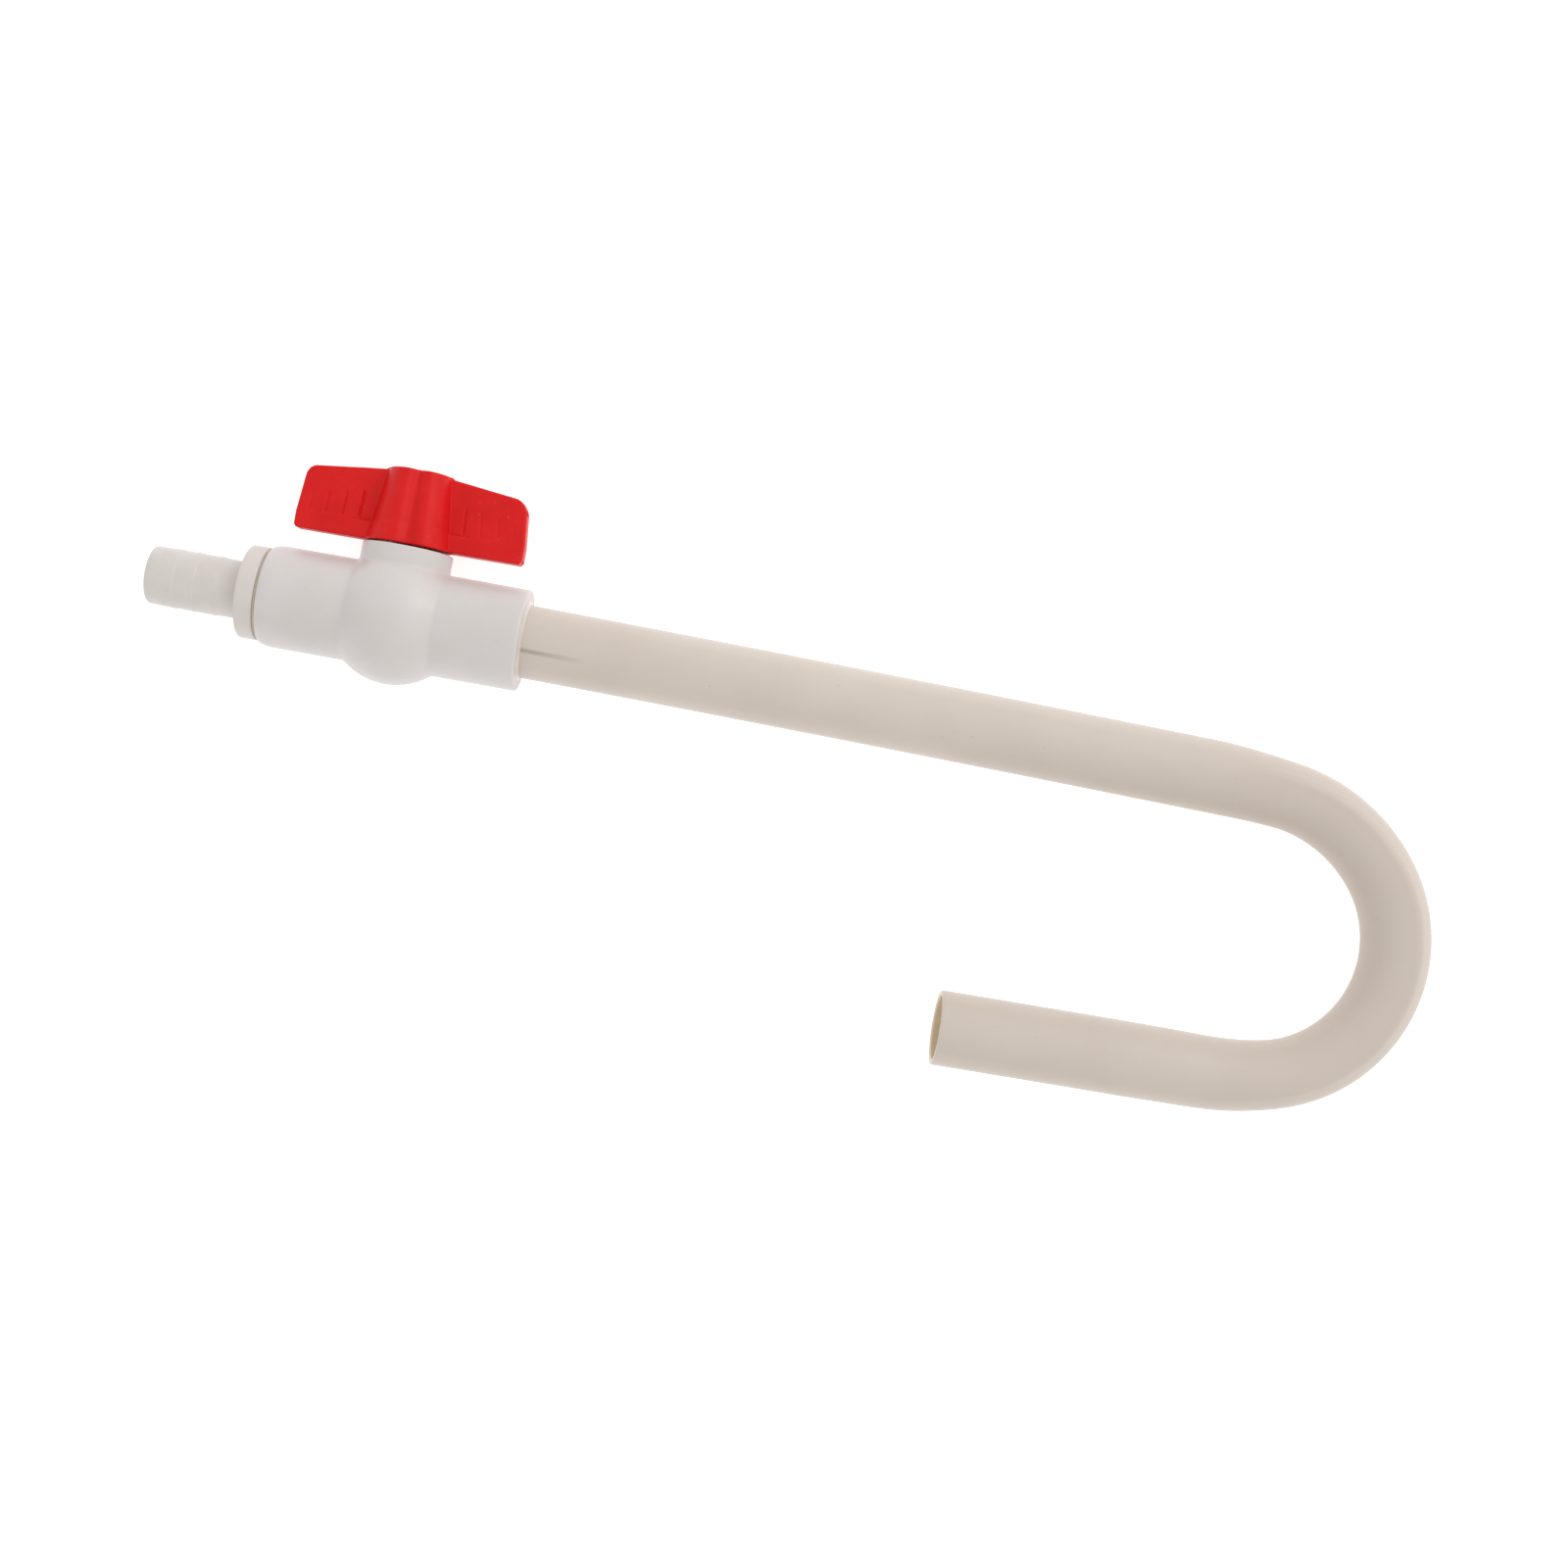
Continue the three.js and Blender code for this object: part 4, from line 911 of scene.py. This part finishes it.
ring_r = (SEAT_BORE_R + SEAT_R) / 2
inner_face, outer_face = (math.degrees(math.asin(r / SEAT_FACE_R)) for r in (SEAT_BORE_R, SEAT_R))
stack_pieces = {}
for side_name, direction in (("tube_side", 1), ("hose_side", -1)):
    flip = np.array([direction, 1])
    seat_profile = profile(
        arc((0, 0), SEAT_FACE_R, inner_face, outer_face, 12), (SEAT_END, SEAT_R, 0.2), (SEAT_END, SEAT_BORE_R, 0.2)
    )
    groove = RING_GROOVE / 2
    ring_profile = profile(arc((CARRIER_START + groove, ring_r), SEAT_RING_SECTION_R, 0, 345, 24))
    carrier_profile = profile(
        (CARRIER_START, SEAT_BORE_R, 0.1), (CARRIER_START, ring_r - groove, 0.1),
        (CARRIER_START + RING_GROOVE, ring_r - groove, 0.3), (CARRIER_START + RING_GROOVE, ring_r + groove, 0.3),
        (CARRIER_START, ring_r + groove, 0.1), (CARRIER_START, CARRIER_R, 0.15),
        (CARRIER_END, CARRIER_R, 0.3), (CARRIER_END, SEAT_BORE_R, 0.3),
    )
    stack_pieces[f"seat_{side_name}"] = turned(f"seat_ptfe_{side_name}", seat_profile * flip)
    stack_pieces[f"seat_ring_{side_name}"] = turned(f"seat_o_ring_{side_name}", ring_profile * flip)
    stack_pieces[f"seat_carrier_{side_name}"] = turned(f"seat_cup_{side_name}", carrier_profile * flip)
print("seat stacks:", sorted(stack_pieces))

# %% Stem, washer and O-rings
TANG_ACROSS, TANG_DEEP, TANG_BOTTOM, STEM_SQUARE = 4.4, 9.0, 9.1, 6.0
PILOT_R, PILOT_BOTTOM = 1.65, 25.2
THRUST_BOTTOM, THRUST_TOP = 13.8, 14.4
O_RING_SECTION_R = 0.5

o_ring_grooves = [
    row
    for height in O_RING_HEIGHTS
    for row in (
        (height - O_RING_GROOVE / 2, STEM_R, 0.1), (height - O_RING_GROOVE / 2, O_RING_FLOOR, 0.2),
        (height + O_RING_GROOVE / 2, O_RING_FLOOR, 0.2), (height + O_RING_GROOVE / 2, STEM_R, 0.1),
    )
]
stem_profile = profile(
    (FLANGE_BOTTOM, 0, 0), (FLANGE_BOTTOM, FLANGE_R, 0.2), (FLANGE_TOP, FLANGE_R, 0.2), (FLANGE_TOP, STEM_R, 0.2),
    o_ring_grooves, (NECK_TOP, STEM_R, 0.2), (NECK_TOP, 0, 0), closed=False, spacing=0.5,
)
stem = turned("stem_with_tang", stem_profile, about="y")
stem = combined(stem, block("tang", TANG_ACROSS, TANG_DEEP, TANG_BOTTOM, FLANGE_TOP - 0.2, 0.5), "UNION")
stem = combined(stem, block("square", STEM_SQUARE, STEM_SQUARE, NECK_TOP - 0.3, SQUARE_TOP, 0.4), "UNION")
pilot = profile(
    (PILOT_BOTTOM, 0, 0), (PILOT_BOTTOM, PILOT_R, 0), (SQUARE_TOP + 1, PILOT_R, 0), (SQUARE_TOP + 1, 0, 0), closed=False
)
stem = combined(stem, turned("pilot", pilot, about="y", sides=48))
washer_profile = profile(
    (THRUST_BOTTOM, GLAND_R, 0.1), (THRUST_BOTTOM, FLANGE_R, 0.1), (THRUST_TOP, FLANGE_R, 0.1),
    (THRUST_TOP, GLAND_R, 0.1),
)
thrust_washer = turned("thrust_washer_ptfe", washer_profile, about="y")
stem_rings = []
for ring_name, height in zip(("lower", "upper"), O_RING_HEIGHTS):
    ring_outline = profile(arc((height, O_RING_FLOOR + O_RING_GROOVE / 2), O_RING_SECTION_R, 0, 345, 24))
    stem_rings.append(turned(f"o_ring_stem_{ring_name}", ring_outline, about="y"))
print("stem:", len(stem.data.polygons), "faces")

# %% [markdown]
# ## The screw and its washer
#
# A pan-head thread-forming screw in stainless steel. Its thread is one grid whose radius rises and falls
# along a helix, and the crosswise recess is two slots cut into the head.

# %% Screw and washer
SCREW_SEAT, HEAD_R, HEAD_HEIGHT, SHANK_R, SCREW_LENGTH = 37.5, 3.7, 2.0, 1.35, 12.0
THREAD_PITCH, THREAD_DEPTH = 1.0, 0.26
CROSS_LENGTH, CROSS_WIDTH, CROSS_FLOOR = 4.3, 0.95, 0.8
WASHER_BOTTOM, WASHER_TOP, WASHER_BORE_R = 36.6, 37.2, SHANK_R + 0.3

shank_low = SCREW_SEAT - SCREW_LENGTH
around = np.linspace(0, 2 * np.pi, 48, endpoint=False)[None, :]
height = np.linspace(shank_low, SCREW_SEAT - 0.6, 150)[:, None]
ramp = np.abs(((height / THREAD_PITCH - around / (2 * np.pi)) % 1) - 0.5) * 2
taper = np.clip((height - shank_low) / 1.6, 0.12, 1)
thread_r = (SHANK_R - THREAD_DEPTH + 1.4 * THREAD_DEPTH * np.clip(1.5 * ramp - 0.4, 0, 1)) * taper
thread_y = height + 0 * around
thread_r = np.vstack([0 * around, thread_r, SHANK_R - 0.1 + 0 * around, SHANK_R - 0.1 + 0 * around, 0 * around])
thread_y = np.vstack([
    shank_low + 0 * around, thread_y, SCREW_SEAT - 0.4 + 0 * around, SCREW_SEAT + 0.3 + 0 * around,
    SCREW_SEAT + 0.3 + 0 * around,
])
shank = shell("shank", np.stack([thread_r * np.cos(around), thread_y, thread_r * np.sin(around)], axis=-1))
head = turned("screw_pan_head", profile(
    (SCREW_SEAT, 0, 0), (SCREW_SEAT, HEAD_R, 0.15), (SCREW_SEAT + HEAD_HEIGHT * 0.55, HEAD_R, 0.8),
    (SCREW_SEAT + HEAD_HEIGHT, HEAD_R * 0.62, 0.8), (SCREW_SEAT + HEAD_HEIGHT, 0, 0), closed=False,
    spacing=0.4), about="y")
screw = combined(head, shank, "UNION")
for size_x, size_z in ((CROSS_LENGTH, CROSS_WIDTH), (CROSS_WIDTH, CROSS_LENGTH)):
    screw = combined(screw, block("slot", size_x, size_z, SCREW_SEAT + CROSS_FLOOR, SCREW_SEAT + 3, 0.15))
screw.name = "screw_pan_head"
plain_washer = turned("washer_plain", profile(
    (WASHER_BOTTOM, WASHER_BORE_R, 0.08), (WASHER_BOTTOM, HEAD_R, 0.15), (WASHER_TOP, HEAD_R, 0.15),
    (WASHER_TOP, WASHER_BORE_R, 0.08),
    spacing=0.4), about="y")

# Stainless steel A2, cold headed: clean grey metal with a soft, slightly smeared shine from the die.
steel, tree, shader = blank("stainless_steel_cold_headed")
place = (add(tree, "TexCoord"), "Object")
wear = add(tree, "TexNoise", Vector=place, Scale=per_mm(0.7), Detail=4.0)
colour = add(tree, "Mix", MIX_COLOURS, Factor=(wear, "Fac"), i6=linear("#c4c5c6"), i7=linear("#a7a9ab"))
shine = add(tree, "MapRange", Value=(wear, "Fac"), To_Min=0.2, To_Max=0.42)
smear = add(tree, "Bump", Strength=1.0, Distance=0.004 * MM, Height=(wear, "Fac"))
feed(shader, Metallic=1.0, Base_Color=(colour, 2), Roughness=(shine, "Result"), Normal=(smear, "Normal"))
print("screw:", len(screw.data.polygons), "faces")

# %% [markdown]
# ## Finish, body and place of every piece
#
# Each visual piece stands for its CAD node, rides on the same body and takes its finish. The bead
# of cement is not in the CAD model, so it replaces nothing.

# %% Give every piece its material, its body and the node it stands for
stack_finishes = {
    "seat": (seat_ptfe, "seat_plastic"),
    "seat_ring": (seal_rubber, "ring_rubber"),
    "seat_carrier": (hard_pvc, "carrier_plastic"),
}
groups = [
    ("siphon_body", [
        (tube, tube_pvc, "tube_plastic", "hook_tube"),
        (body, valve_pvc, "valve_plastic", "valve_body"),
        (adapter, adapter_pvc, "adapter_plastic", "hose_adapter"),
        (gasket, gasket_rubber, "gasket_rubber", "adapter_gasket"),
        (cement_line, cement, "tube_plastic", None),
    ]),
    ("handle_and_stem", [
        (handle, red_abs, "handle_plastic", "handle"),
        (stem, hard_pvc, "carrier_plastic", "stem"),
        (thrust_washer, seat_ptfe, "seat_plastic", "thrust_washer"),
        (stem_rings[0], seal_rubber, "ring_rubber", "stem_o_ring_lower"),
        (stem_rings[1], seal_rubber, "ring_rubber", "stem_o_ring_upper"),
        (screw, steel, "screw_steel", "handle_screw"),
        (plain_washer, steel, "screw_steel", "screw_washer"),
    ]),
    ("valve_ball", [(ball, ball_plastic, "ball_plastic", "ball")]),
    ("siphon_body", [(made, *stack_finishes[node.rsplit("_", 2)[0]], node) for node, made in stack_pieces.items()]),
]
pieces = [(rides_on, *piece) for rides_on, group in groups for piece in group]

for rides_on, made, finish, slot, node in pieces:
    made.data.materials.clear()
    made.data.materials.append(finish)
    made.data.name = made.name
    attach(made, rides_on)
    if node:
        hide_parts(node)

# Floor: opal acrylic sheet, matt, lit from below.
board = moulded("acrylic_opal_light_table", "#e0e0e0", "#dcdcdc", 60, 0.8, 0.1, 3, 0.01, "#d8d8d8", 0.02)
shader = board.node_tree.nodes["Principled BSDF"]
feed(shader, Emission_Color=(1.0, 0.99, 0.985, 1), Emission_Strength=FLOOR_GLOW)
floor.data.materials.append(board)
triangles = {piece[1].name: sum(len(face.vertices) - 2 for face in piece[1].data.polygons) for piece in pieces}
print("triangles:", triangles, "all:", sum(triangles.values()))
